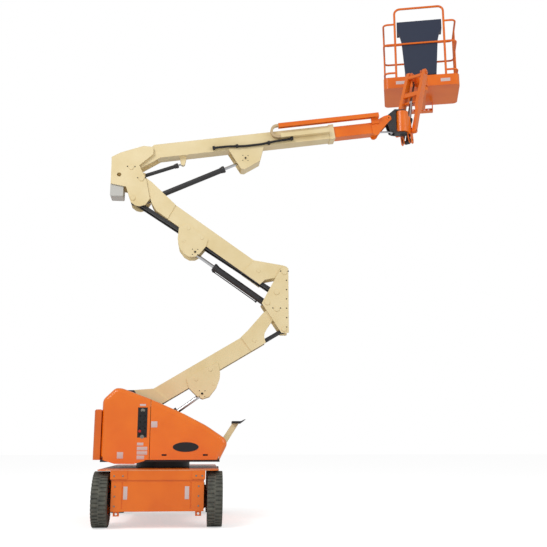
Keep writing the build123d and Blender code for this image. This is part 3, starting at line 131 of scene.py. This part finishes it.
def enamel(name, shade, deep, rough=0.3, peel=0.012, dust=0.0):
    """Sprayed enamel on steel: slightly uneven in tone, with orange peel and rounded edges."""
    paint = bpy.data.materials.new(name)
    paint.use_nodes = True
    shader = paint.node_tree.nodes["Principled BSDF"]
    at = node(paint, "ShaderNodeTexCoord").outputs["Object"]
    # clouds about 350 mm across, where the coat is a little thinner
    cloud = node(paint, "ShaderNodeTexNoise", {"Vector": at, "Scale": 2.8, "Detail": 3.0})
    tone = node(paint, "ShaderNodeMapRange", {
        "Value": cloud.outputs["Fac"], "From Min": 0.35, "From Max": 0.7,
    })
    # road dust settles in specks about 12 mm across
    speck = node(paint, "ShaderNodeTexNoise", {"Vector": at, "Scale": 80.0, "Detail": 4.0})
    dirt = node(paint, "ShaderNodeMapRange", {
        "Value": speck.outputs["Fac"], "From Min": 0.58, "From Max": 0.8, "To Max": dust,
    })
    base = node(paint, "ShaderNodeMix", {0: tone.outputs[0], 6: linear(shade), 7: linear(deep)},
                data_type="RGBA")
    worn = node(paint, "ShaderNodeMix", {0: dirt.outputs[0], 6: base.outputs[2],
                                         7: linear("8A7F6E")}, data_type="RGBA")
    gloss = node(paint, "ShaderNodeMapRange", {
        "Value": speck.outputs["Fac"], "To Min": rough - 0.05, "To Max": rough + 0.1,
    })
    # orange peel is about 3 mm across, drawn at 9 mm so that it shows
    skin = node(paint, "ShaderNodeTexNoise", {"Vector": at, "Scale": 110.0, "Detail": 2.0})
    edge = node(paint, "ShaderNodeBevel", {"Radius": 0.003}, samples=4)
    bump = node(paint, "ShaderNodeBump", {
        "Height": skin.outputs["Fac"], "Strength": peel * 10, "Distance": 0.001,
        "Normal": edge.outputs["Normal"],
    })
    for socket, value in (("Base Color", worn.outputs[2]), ("Roughness", gloss.outputs[0]),
                          ("Normal", bump.outputs["Normal"])):
        paint.node_tree.links.new(value, shader.inputs[socket])
    shader.inputs["Coat Weight"].default_value = 0.25
    shader.inputs["Coat Roughness"].default_value = 0.12
    return paint


nodes = frame["nodes"]


def give(material, *names):
    """Puts a finish on CAD nodes."""
    for name in names:
        mesh = nodes[name].data
        mesh.materials.clear()
        mesh.materials.append(material)


orange_enamel = enamel("orange_enamel_on_steel", "FA7A0C", "F06E06", dust=0.08)
give(orange_enamel, "chassis_frame")


def settle(piece, name, material, body, smooth=35):
    """Names a finished piece, moves its place into its mesh and hangs it on its body."""
    deselect()
    piece.select_set(True)
    bpy.context.view_layer.objects.active = piece
    bpy.ops.object.transform_apply(location=True, rotation=True, scale=True)
    bpy.ops.object.shade_smooth_by_angle(angle=radians(smooth))
    piece.name = name
    piece.data.materials.clear()
    piece.data.materials.append(material)
    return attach(piece, body)


def soften(piece, width, segments=2):
    """Rounds a piece's sharp edges and keeps the result in its mesh."""
    deselect()
    piece.select_set(True)
    bpy.context.view_layer.objects.active = piece
    bpy.ops.object.transform_apply(location=False, rotation=True, scale=True)
    rounding = piece.modifiers.new("edges", "BEVEL")
    rounding.width, rounding.segments, rounding.limit_method = width, segments, "ANGLE"
    bpy.ops.object.modifier_apply(modifier=rounding.name)
    return piece


def plate(low, high, edge=0.002):
    """A flat piece between two corners, with rounded edges."""
    low, high = Vector(low), Vector(high)
    deselect()
    bpy.ops.mesh.primitive_cube_add(size=1, location=(low + high) / 2)
    piece = bpy.context.object
    piece.scale = high - low
    return soften(piece, edge)


def gather(pieces):
    """Joins like pieces into one."""
    deselect()
    for piece in pieces:
        piece.select_set(True)
    bpy.context.view_layer.objects.active = pieces[0]
    if len(pieces) > 1:
        bpy.ops.object.join()
    return pieces[0]


def repeat(base, places):
    """Copies a finished shape to each place, each copy with its own mesh, and joins them."""
    made = []
    for place in places:
        copy = base.copy()
        copy.data = base.data.copy()
        copy.matrix_world = place
        bpy.context.scene.collection.objects.link(copy)
        made.append(copy)
    bpy.data.objects.remove(base)
    return gather(made)


def facing(point, direction):
    """Place of a shape drawn up +Z, turned to face a direction."""
    turn = Vector(direction).to_track_quat("Z", "Y").to_matrix().to_4x4()
    return Matrix.Translation(point) @ turn


def bolt_head(radius):
    """Hexagon head with a chamfered top on a round washer."""
    deselect()
    bpy.ops.mesh.primitive_cylinder_add(vertices=6, radius=radius, depth=radius * 0.8,
                                        location=(0, 0, radius * 0.62))
    head = soften(bpy.context.object, radius * 0.12)
    bpy.ops.mesh.primitive_cylinder_add(vertices=20, radius=radius * 1.35, depth=radius * 0.24,
                                        location=(0, 0, radius * 0.12))
    washer = soften(bpy.context.object, radius * 0.05)
    return gather([head, washer])


def bright_steel(name, shade, rough):
    """Plated or turned steel: metal with fine uneven polish about 4 mm across."""
    steel = bpy.data.materials.new(name)
    steel.use_nodes = True
    shader = steel.node_tree.nodes["Principled BSDF"]
    at = node(steel, "ShaderNodeTexCoord").outputs["Object"]
    grain = node(steel, "ShaderNodeTexNoise", {"Vector": at, "Scale": 250.0, "Detail": 3.0})
    polish = node(steel, "ShaderNodeMapRange", {
        "Value": grain.outputs["Fac"], "To Min": rough * 0.7, "To Max": rough * 1.4,
    })
    steel.node_tree.links.new(polish.outputs[0], shader.inputs["Roughness"])
    shader.inputs["Base Color"].default_value = linear(shade)
    shader.inputs["Metallic"].default_value = 1.0
    return steel


def bolts(name, body, radius, places, material):
    """A set of bolt heads, each at a point and facing a direction."""
    piece = repeat(bolt_head(radius), [facing(p, d) for p, d in places])
    return settle(piece, name, material, body)


zinc_steel = bright_steel("zinc_plated_steel", "9A988F", 0.38)
NEAR_FACE = -1.214           # front of the header bar
BOLT_SEAT = 0.012
bolts("chassis_corner_bolts", "chassis", 0.011, [
    ((x, NEAR_FACE - BOLT_SEAT, z), (0, -1, 0)) for x in (-0.5, -0.4, 0.44, 0.51) for z in (0.588,)
] + [((x, -1.2, z), (0, -1, 0)) for x in (-0.49, 0.47) for z in (0.25, 0.36, 0.47)],
    zinc_steel)


def moulded(name, shade, rough=0.45, grain=900.0, depth=0.1):
    """Moulded plastic or rubber with a fine texture."""
    plastic = bpy.data.materials.new(name)
    plastic.use_nodes = True
    shader = plastic.node_tree.nodes["Principled BSDF"]
    at = node(plastic, "ShaderNodeTexCoord").outputs["Object"]
    spark = node(plastic, "ShaderNodeTexNoise", {"Vector": at, "Scale": grain, "Detail": 2.0})
    sheen = node(plastic, "ShaderNodeMapRange", {
        "Value": spark.outputs["Fac"], "To Min": rough - 0.08, "To Max": rough + 0.12,
    })
    bump = node(plastic, "ShaderNodeBump", {
        "Height": spark.outputs["Fac"], "Strength": depth, "Distance": 0.0006,
    })
    plastic.node_tree.links.new(sheen.outputs[0], shader.inputs["Roughness"])
    plastic.node_tree.links.new(bump.outputs["Normal"], shader.inputs["Normal"])
    shader.inputs["Base Color"].default_value = linear(shade)
    return plastic


pale_label = moulded("pale_vinyl_label", "DCC9C6", 0.4)
for name, x_low, x_high in (("chassis_plate_near_left", -0.392, -0.345),
                            ("chassis_plate_near_right", 0.312, 0.362)):
    piece = plate((x_low, -1.2035, 0.325), (x_high, -1.1995, 0.47), 0.0012)
    settle(piece, name, pale_label, "chassis")

# painted highlight: a pale orange strip along the deck's near edge, where light catches the edge
deck_highlight_paint = enamel("painted_highlight_enamel_edge", "F3A36B", "E88A4C", rough=0.4)
piece = plate((-0.6, -1.2165, 0.6455), (0.6, -1.2125, 0.6575), 0.0015)
settle(piece, "deck_edge_painted_highlight", deck_highlight_paint, "chassis")

# ---------------------------------------------------------------- tyres
# Foam-filled rubber tyres moulded in one piece: a carcass with smooth walls, and two rows of
# tread bars that start at the shoulders and pass each other at the middle.

tyre_rubber = bpy.data.materials.new("dusty_tyre_rubber")
tyre_rubber.use_nodes = True
at = node(tyre_rubber, "ShaderNodeTexCoord").outputs["Object"]
# dust lies in patches about 60 mm across
dust_cloud = node(tyre_rubber, "ShaderNodeTexNoise", {"Vector": at, "Scale": 16.0, "Detail": 6.0})
dust_share = node(tyre_rubber, "ShaderNodeMapRange", {
    "Value": dust_cloud.outputs["Fac"], "From Min": 0.3, "From Max": 0.75, "To Max": 0.75,
})
dusty = node(tyre_rubber, "ShaderNodeMix", {
    0: dust_share.outputs[0], 6: linear("4C4D48"), 7: linear("757468"),
}, data_type="RGBA")
crumb = node(tyre_rubber, "ShaderNodeTexNoise", {"Vector": at, "Scale": 400.0, "Detail": 3.0})
crumb_bump = node(tyre_rubber, "ShaderNodeBump", {
    "Height": crumb.outputs["Fac"], "Strength": 0.25, "Distance": 0.001,
})
shader = tyre_rubber.node_tree.nodes["Principled BSDF"]
tyre_rubber.node_tree.links.new(dusty.outputs[2], shader.inputs["Base Color"])
tyre_rubber.node_tree.links.new(crumb_bump.outputs["Normal"], shader.inputs["Normal"])
shader.inputs["Roughness"].default_value = 0.85

TYRE_RADIUS, TYRE_HALF = 0.3175, 0.089
BAR_COUNT = 40               # tread bars in each row
GROOVE = 0.010


def select_faces(piece, test):
    """Selects the faces whose centre and normal pass a test, in edit mode."""
    bpy.ops.object.mode_set(mode="OBJECT")
    for face in piece.data.polygons:
        face.select = test(face.center, face.normal)
    for edge in piece.data.edges:
        edge.select = False
    for point in piece.data.vertices:
        point.select = False
    for face in piece.data.polygons:
        if face.select:
            for index in face.vertices:
                piece.data.vertices[index].select = True
    bpy.ops.object.mode_set(mode="EDIT")
    bpy.ops.mesh.select_mode(type="FACE")


def carcass():
    """Tyre body about its own axle, along Z: shoulders, walls and a raised bead ring."""
    deselect()
    bpy.ops.mesh.primitive_cylinder_add(vertices=80, radius=TYRE_RADIUS - GROOVE,
                                        depth=2 * TYRE_HALF)
    body = soften(bpy.context.object, 0.022, 4)
    bpy.ops.object.mode_set(mode="EDIT")
    for ring, push in ((0.020, 0.0), (0.012, -0.003), (0.045, 0.0), (0.008, 0.004), (0.012, 0.0)):
        select_faces(body, lambda c, n: abs(n.z) > 0.99 and c.xy.length < 0.01)
        bpy.ops.mesh.inset(thickness=ring, depth=push)
    select_faces(body, lambda c, n: abs(n.z) > 0.99 and c.xy.length < 0.01)
    bpy.ops.mesh.inset(thickness=0.005, depth=-0.006)
    select_faces(body, lambda c, n: abs(n.z) > 0.99 and c.xy.length < 0.01)
    bpy.ops.mesh.delete(type="FACE")
    bpy.ops.object.mode_set(mode="OBJECT")
    return body


def tread_bar():
    """One bar from the shoulder to just past the middle, along X, thick in Z, long in Y."""
    deselect()
    bpy.ops.mesh.primitive_cube_add(size=1, location=(0, 0, 0))
    bar = bpy.context.object
    bar.scale = (0.033, 0.096, 0.018)
    return soften(bar, 0.004, 2)


def tyre(wheel, body):
    low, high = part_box("tyre_" + wheel)
    centre = (Vector(low) + Vector(high)) / 2
    bars = repeat(tread_bar(), [
        Matrix.Rotation(2 * pi * (i + (row > 0) * 0.5) / BAR_COUNT, 4, "Z")
        @ Matrix.Translation((TYRE_RADIUS - 0.0092, 0, row * 0.0395))
        @ Matrix.Rotation(pi / 2, 4, "Z") @ Matrix.Rotation(pi / 2, 4, "X")
        for row in (-1, 1) for i in range(BAR_COUNT)
    ])
    piece = gather([carcass(), bars])
    piece.matrix_world = Matrix.Translation(centre) @ Matrix.Rotation(pi / 2, 4, "Y")
    settle(piece, "tread_" + wheel, tyre_rubber, body, 40)
    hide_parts("tyre_" + wheel)


for wheel in ("drive_left", "drive_right", "steer_left", "steer_right"):
    tyre(wheel, "wheel_" + wheel)

# ---------------------------------------------------------------- wheels
# Pressed steel wheels in orange enamel, held by nine nuts on the hub's flange.

NUT_COUNT, NUT_CIRCLE = 9, 0.1
NUT_INSET = 0.024            # from the wheel's middle plane to the flange
give(orange_enamel, "rim_drive_left", "rim_drive_right", "rim_steer_left", "rim_steer_right")
for wheel in ("drive_left", "drive_right", "steer_left", "steer_right"):
    low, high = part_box("rim_" + wheel)
    centre = (Vector(low) + Vector(high)) / 2
    side = 1 if centre.x > 0 else -1
    bolts("wheel_nuts_" + wheel, "wheel_" + wheel, 0.012, [
        ((centre.x - side * NUT_INSET, centre.y + NUT_CIRCLE * cos(a), centre.z + NUT_CIRCLE * sin(a)),
         (side, 0, 0))
        for a in (2 * pi * i / NUT_COUNT for i in range(NUT_COUNT))
    ], zinc_steel)

# ---------------------------------------------------------------- axles and steering
# Castings and forgings in black enamel: the reduction gears, the steered axle with its kingpins,
# the two knuckles and the rod that ties them.

black_enamel = enamel("black_enamel_on_castings", "2E2E31", "232326", rough=0.42, dust=0.3)
give(black_enamel, "drive_hubs", "steer_axle", "knuckle_left", "knuckle_right", "tie_rod")

# ---------------------------------------------------------------- swing bearing
# A forged ring with its bolts in a circle, bolted to the deck; the base plate above is black too.

give(black_enamel, "slew_ring", "turntable_frame")
low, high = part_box("slew_ring")
RING_BOLTS = 24
bolt_circle = 0.87 * (high[0] - low[0]) / 2
bolts("slew_ring_bolts", "chassis", 0.011, [
    ((bolt_circle * cos(a), bolt_circle * sin(a), low[2] + BOLT_SEAT), (0, 0, -1))
    for a in (2 * pi * i / RING_BOLTS for i in range(RING_BOLTS))
], zinc_steel)

# ---------------------------------------------------------------- covers
# Moulded covers in gelcoat: high gloss, self-coloured orange. The near one carries a blank oval
# badge; latches sit in slots, and blank labels below the control panel.

orange_gelcoat = enamel("orange_gelcoat_moulding", "FF7F10", "F8750A", rough=0.16, peel=0.004)
orange_gelcoat.node_tree.nodes["Principled BSDF"].inputs["Coat Weight"].default_value = 0.6
give(orange_gelcoat, "rear_covers", "front_cover_near", "front_cover_far")

near_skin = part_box("front_cover_near")[0][1]
black_plastic = moulded("black_moulded_plastic", "1C1C1E", 0.4)


def oval(centre, half_x, half_z, thick, edge):
    """An oval plate on the near side, its face dished inside a raised rim."""
    deselect()
    bpy.ops.mesh.primitive_cylinder_add(vertices=64, radius=1, depth=1, location=centre,
                                        rotation=(pi / 2, 0, 0))
    piece = bpy.context.object
    piece.scale = (half_x, half_z, thick)
    soften(piece, edge)
    bpy.ops.object.mode_set(mode="EDIT")
    select_faces(piece, lambda c, n: n.y < -0.99)
    bpy.ops.mesh.inset(thickness=0.006, depth=-0.0008)
    bpy.ops.object.mode_set(mode="OBJECT")
    return piece


piece = oval((0.302, near_skin - 0.002, 0.912), 0.158, 0.058, 0.005, 0.0012)
settle(piece, "cover_badge_blank", black_plastic, "front_cover_near")
for name, x, z in (("cover_latch_rear", 0.041, 0.816), ("cover_latch_front", 0.544, 0.816)):
    piece = plate((x - 0.024, near_skin + 0.001, z - 0.006), (x + 0.024, near_skin + 0.006, z + 0.006))
    settle(piece, name, black_plastic, "front_cover_near")
piece = plate((-0.128, near_skin - 0.0015, 1.148), (-0.052, near_skin + 0.0004, 1.222), 0.0006)
settle(piece, "cover_label_blank", pale_label, "front_cover_near")

strips = [plate((x_low, near_skin - 0.0015, z_low), (x_high, near_skin + 0.0004, z_high), 0.0006)
          for x_low, x_high, z_low, z_high in (
              (-0.292, -0.215, 0.93, 0.965), (-0.292, -0.165, 0.872, 0.915),
              (-0.292, -0.165, 0.82, 0.862), (-0.292, -0.2, 0.765, 0.81),
              (-0.53, -0.455, 0.775, 0.852), (-0.272, -0.2, 1.408, 1.432),
          )]
settle(gather(strips), "rear_cover_labels_blank", pale_label, "turntable")

# ---------------------------------------------------------------- ground controls
# A black steel box with a column of switches under rubber boots, a key switch, two dials and a
# red stop button on a short stem.

give(black_plastic, "ground_controls")
low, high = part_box("ground_controls")
panel_x, panel_y = (low[0] + high[0]) / 2, low[1] + 0.012
switches = []
for i, z in enumerate((1.065, 1.14, 1.215, 1.29)):
    for x in (-0.03, 0.03):
        deselect()
        bpy.ops.mesh.primitive_cone_add(vertices=20, radius1=0.011, radius2=0.0045, depth=0.020,
                                        location=(panel_x + x, panel_y - 0.006, z),
                                        rotation=(pi / 2, 0, 0))
        switches.append(soften(bpy.context.object, 0.0015))
black_rubber = moulded("black_rubber", "19191B", 0.6, 300.0, 0.2)
settle(gather(switches), "ground_switch_boots", black_rubber, "turntable")
gauges = []
for z in (1.355, 1.035):
    gauges.append(oval((panel_x, panel_y - 0.002, z), 0.026, 0.022, 0.006, 0.001))
settle(gather(gauges), "ground_gauges", zinc_steel, "turntable")
stop_red = moulded("red_moulded_plastic", "C2201C", 0.3)
deselect()
bpy.ops.mesh.primitive_cylinder_add(vertices=32, radius=0.017, depth=0.018, rotation=(pi / 2, 0, 0),
                                    location=(panel_x - 0.03, panel_y - 0.010, 1.102))
settle(soften(bpy.context.object, 0.004, 3), "ground_stop_button", stop_red, "turntable")

# ---------------------------------------------------------------- counterweight and batteries
# The counterweight is one iron casting, painted orange over its rough skin. The battery boxes
# are black moulded cases.

cast_orange = enamel("orange_enamel_on_cast_iron", "EE7010", "E2640A", rough=0.4, peel=0.08)
give(cast_orange, "counterweight")
battery_case = moulded("grey_black_battery_case", "2B2B2D", 0.5)
give(battery_case, "battery_packs")

# ---------------------------------------------------------------- boom rest
# A leaning post folded from plate, in cream enamel, with a rubber pad on its top.

cream_enamel = enamel("cream_enamel_on_steel", "F6E3B4", "EDD7A2", rough=0.34, dust=0.05)
give(cream_enamel, "boom_rest")
give(black_rubber, "boom_rest_pad")

# ---------------------------------------------------------------- folding tower
# Two folded-plate booms with plates welded on, hung between plate uprights, in cream enamel with
# black links. Two bolts hold the keeper of each pin, and black bolts run down the upright's edge.

give(cream_enamel, "lower_tower_boom", "upper_tower_boom", "mid_upright", "upper_upright",
     "main_boom_base", "track_tray")
give(black_enamel, "lower_tower_link", "upper_tower_link")
joint_at = {j["name"]: Vector(j["pos_m"]) for j in frame["joints"] if "pos_m" in j}
joint_axis = {j["name"]: Vector(j["axis"]).normalized() for j in frame["joints"]}


def on_skin(name, point, direction):
    """Where a line towards a point first meets a node from outside, or None."""
    out = Vector(direction).normalized()
    found, place, normal, face = nodes[name].ray_cast(Vector(point) + 2 * out, -out)
    # only a face that looks outwards can carry a bolt
    return place if found and normal.dot(out) > 0.98 else None


def skin_bolts(name, body, node_name, radius, points, axis, material):
    """Bolt heads on both sides of a node, at each point along an axis."""
    places = []
    for point in points:
        for side in (1, -1):
            seat = on_skin(node_name, point, side * axis)
            if seat:
                places.append((seat, side * axis))
    return bolts(name, body, radius, places, material)


across = Vector((0, 1, 0))
black_bolts = bright_steel("black_oxide_steel", "2A2A2C", 0.45)
KEEPER_HALF = 0.052          # from a pin's centre to its keeper's bolts
for body, node_name, names in (
    ("mid_upright", "mid_upright", ("mid_upright_level", "upper_tower_raise")),
    ("upper_upright", "upper_upright", ("upper_upright_level", "boom_lift")),
):
    skin_bolts(body + "_keeper_bolts", body, node_name, 0.009, [
        joint_at[name] + Vector((dx, 0, 0.012)) for name in names for dx in (-KEEPER_HALF, KEEPER_HALF)
    ], across, black_bolts)

EDGE_BOLTS, EDGE_PITCH = 6, 0.13
low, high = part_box("mid_upright")
skin_bolts("mid_upright_edge_bolts", "mid_upright", "mid_upright", 0.009, [
    Vector((high[0] - 0.03, 0, low[2] + 0.08 + i * EDGE_PITCH)) for i in range(EDGE_BOLTS)
], across, black_bolts)

# each boom's round lobe holds its cylinder's pin under a large bolt, with four smaller ones around
LOBE_RING = 0.052
for body, node_name, x, z in (
    ("lower_tower", "lower_tower_boom", 0.492, 1.602),
    ("upper_tower", "upper_tower_boom", 0.358, 3.536),
    ("main_boom", "main_boom_base", 1.043, 4.932),
):
    centre = Vector((x, 0, z))
    skin_bolts(body + "_lobe_pin_bolts", body, node_name, 0.015, [centre], across, black_bolts)
    skin_bolts(body + "_lobe_ring_bolts", body, node_name, 0.007, [
        centre + LOBE_RING * Vector((cos(pi * (i + 0.5) / 2), 0, sin(pi * (i + 0.5) / 2)))
        for i in range(4)
    ], across, black_bolts)

# junction box of pale moulded plastic on the mast, where the boom's cables meet
give(moulded("pale_grey_moulded_box", "C9C8C2", 0.45), "junction_box")

# ---------------------------------------------------------------- cylinders
# Drawn steel barrels in black enamel, each with a screwed gland nut at its open end, and rods
# that are turned, ground and hard chromed.

chrome = bright_steel("hard_chrome_on_ground_steel", "D6D7DA", 0.12)
barrels = [name for name in nodes if name.endswith("_barrel")]
rods = [name for name in nodes if name.endswith("_rod") and name != "tie_rod"]
give(black_enamel, *barrels)
give(chrome, *rods)
NUT_LENGTH = 0.034
for barrel in barrels:
    name = barrel[:-len("_barrel")]
    joint = "jib_cylinder" if name == "jib_lift" else name
    start, along = joint_at[joint + "_tilt"], joint_axis[joint + "_stroke"]
    reach = [(v.co - start).dot(along) for v in nodes[barrel].data.vertices]
    end = max(reach)
    radius = max(((v.co - start) - t * along).length
                 for v, t in zip(nodes[barrel].data.vertices, reach) if t > end - 0.004)
    deselect()
    bpy.ops.mesh.primitive_cylinder_add(vertices=32, radius=radius * 1.12, depth=NUT_LENGTH,
                                        end_fill_type="NOTHING")
    nut = bpy.context.object
    wall = nut.modifiers.new("wall", "SOLIDIFY")
    wall.thickness, wall.offset = radius * 0.24, -1
    bpy.ops.object.modifier_apply(modifier=wall.name)
    nut = soften(nut, 0.0025)
    nut.matrix_world = facing(start + along * (end - NUT_LENGTH / 2), along)
    settle(nut, name + "_gland_nut", black_enamel, barrel)

# ---------------------------------------------------------------- power track and cables
# A chain of moulded tan links that carries the hoses to the fly, and the sleeved cables that
# feed it.

tan_plastic = moulded("tan_moulded_links", "CDB48C", 0.5)
give(tan_plastic, "power_track")
give(black_rubber, "boom_cables")

# ---------------------------------------------------------------- fly, nose and jib
# The fly and jib are box sections in orange enamel; the nose bracket is black and the swing
# housing orange.

give(orange_enamel, "fly_boom", "fly_track_tube", "jib_rotator", "jib_arm", "platform_support")
give(black_enamel, "nose_bracket", "jib_level_link")
for name, body, node_name, joint in (
    ("nose_pin_bolts", "fly", "fly_boom", "nose_level"),
    ("jib_pin_bolts", "jib_rotator", "jib_rotator", "jib_lift"),
    ("jib_link_pin_bolts", "jib_rotator", "jib_rotator", "jib_link_turn"),
    ("platform_pin_bolts", "platform_support", "platform_support", "platform_level"),
):
    skin_bolts(name, body, node_name, 0.009, [joint_at[joint]], joint_axis[joint], black_bolts)

# ---------------------------------------------------------------- platform
# Tube rails bent and welded to a pan with folded toe boards, all orange enamel. The console is a
# dark blue-grey moulding with its controls on the lid.

give(orange_enamel, "platform_frame", "platform_gate")
console_plastic = moulded("blue_grey_moulded_console", "2C354B", 0.42)
give(console_plastic, "platform_console")

PLATFORM_TURN = radians(-14.4)
along = Vector((cos(PLATFORM_TURN), sin(PLATFORM_TURN), 0))
near = Vector((sin(PLATFORM_TURN), -cos(PLATFORM_TURN), 0))
low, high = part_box("platform_frame")
middle = (Vector(low) + Vector(high)) / 2
TOE_BOARD_Z = 6.73
BLANK_SHIFT = 0.36           # from the middle to each plate

# two blank plates riveted to the toe board's near face
blanks = []
for shift in (-BLANK_SHIFT, BLANK_SHIFT):
    seat = on_skin("platform_frame", Vector((middle.x, middle.y, TOE_BOARD_Z)) + shift * along, near)
    if seat:
        blank = plate((-0.075, -0.028, 0), (0.075, 0.028, 0.0016), 0.0006)
        blank.matrix_world = facing(seat, near)
        deselect()
        blank.select_set(True)
        bpy.ops.object.transform_apply(location=True, rotation=True, scale=True)
        blanks.append(blank)
settle(gather(blanks), "platform_plates_blank", pale_label, "platform")

# on the console's lid: a stick in a rubber boot, a row of switches and a red stop button
low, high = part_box("platform_console")
lid = (Vector(low) + Vector(high)) / 2


def on_lid(x, y):
    """Where the console's lid lies under a point, and which way it faces."""
    over = Vector((lid.x, lid.y, high[2] + 1)) + x * along - y * near
    found, place, normal, face = nodes["platform_console"].ray_cast(over, Vector((0, 0, -1)))
    return facing(place, normal)


def turned(radius, top_radius, height, place, edge):
    """A round part standing on a place, wider or narrower at its top."""
    deselect()
    bpy.ops.mesh.primitive_cone_add(vertices=24, radius1=radius, radius2=top_radius, depth=height,
                                    location=(0, 0, height / 2))
    part = soften(bpy.context.object, edge)
    deselect()
    part.select_set(True)
    bpy.ops.object.transform_apply(location=True, rotation=True, scale=True)
    part.matrix_world = place
    bpy.ops.object.transform_apply(location=True, rotation=True, scale=True)
    return part


seat = on_lid(0.12, 0)
settle(turned(0.034, 0.010, 0.034, seat, 0.002), "console_stick_boot", black_rubber, "platform")
lever = [turned(0.005, 0.005, 0.085, seat, 0.001),
         turned(0.011, 0.015, 0.032, seat @ Matrix.Translation((0, 0, 0.075)), 0.004)]
settle(gather(lever), "console_stick", black_plastic, "platform")
toggles = [turned(0.008, 0.004, 0.02, on_lid(x, 0.03), 0.001) for x in (-0.16, -0.11, -0.06, -0.01)]
settle(gather(toggles), "console_switch_boots", black_rubber, "platform")
settle(turned(0.015, 0.017, 0.02, on_lid(-0.14, -0.03), 0.003), "console_stop_button", stop_red,
       "platform")
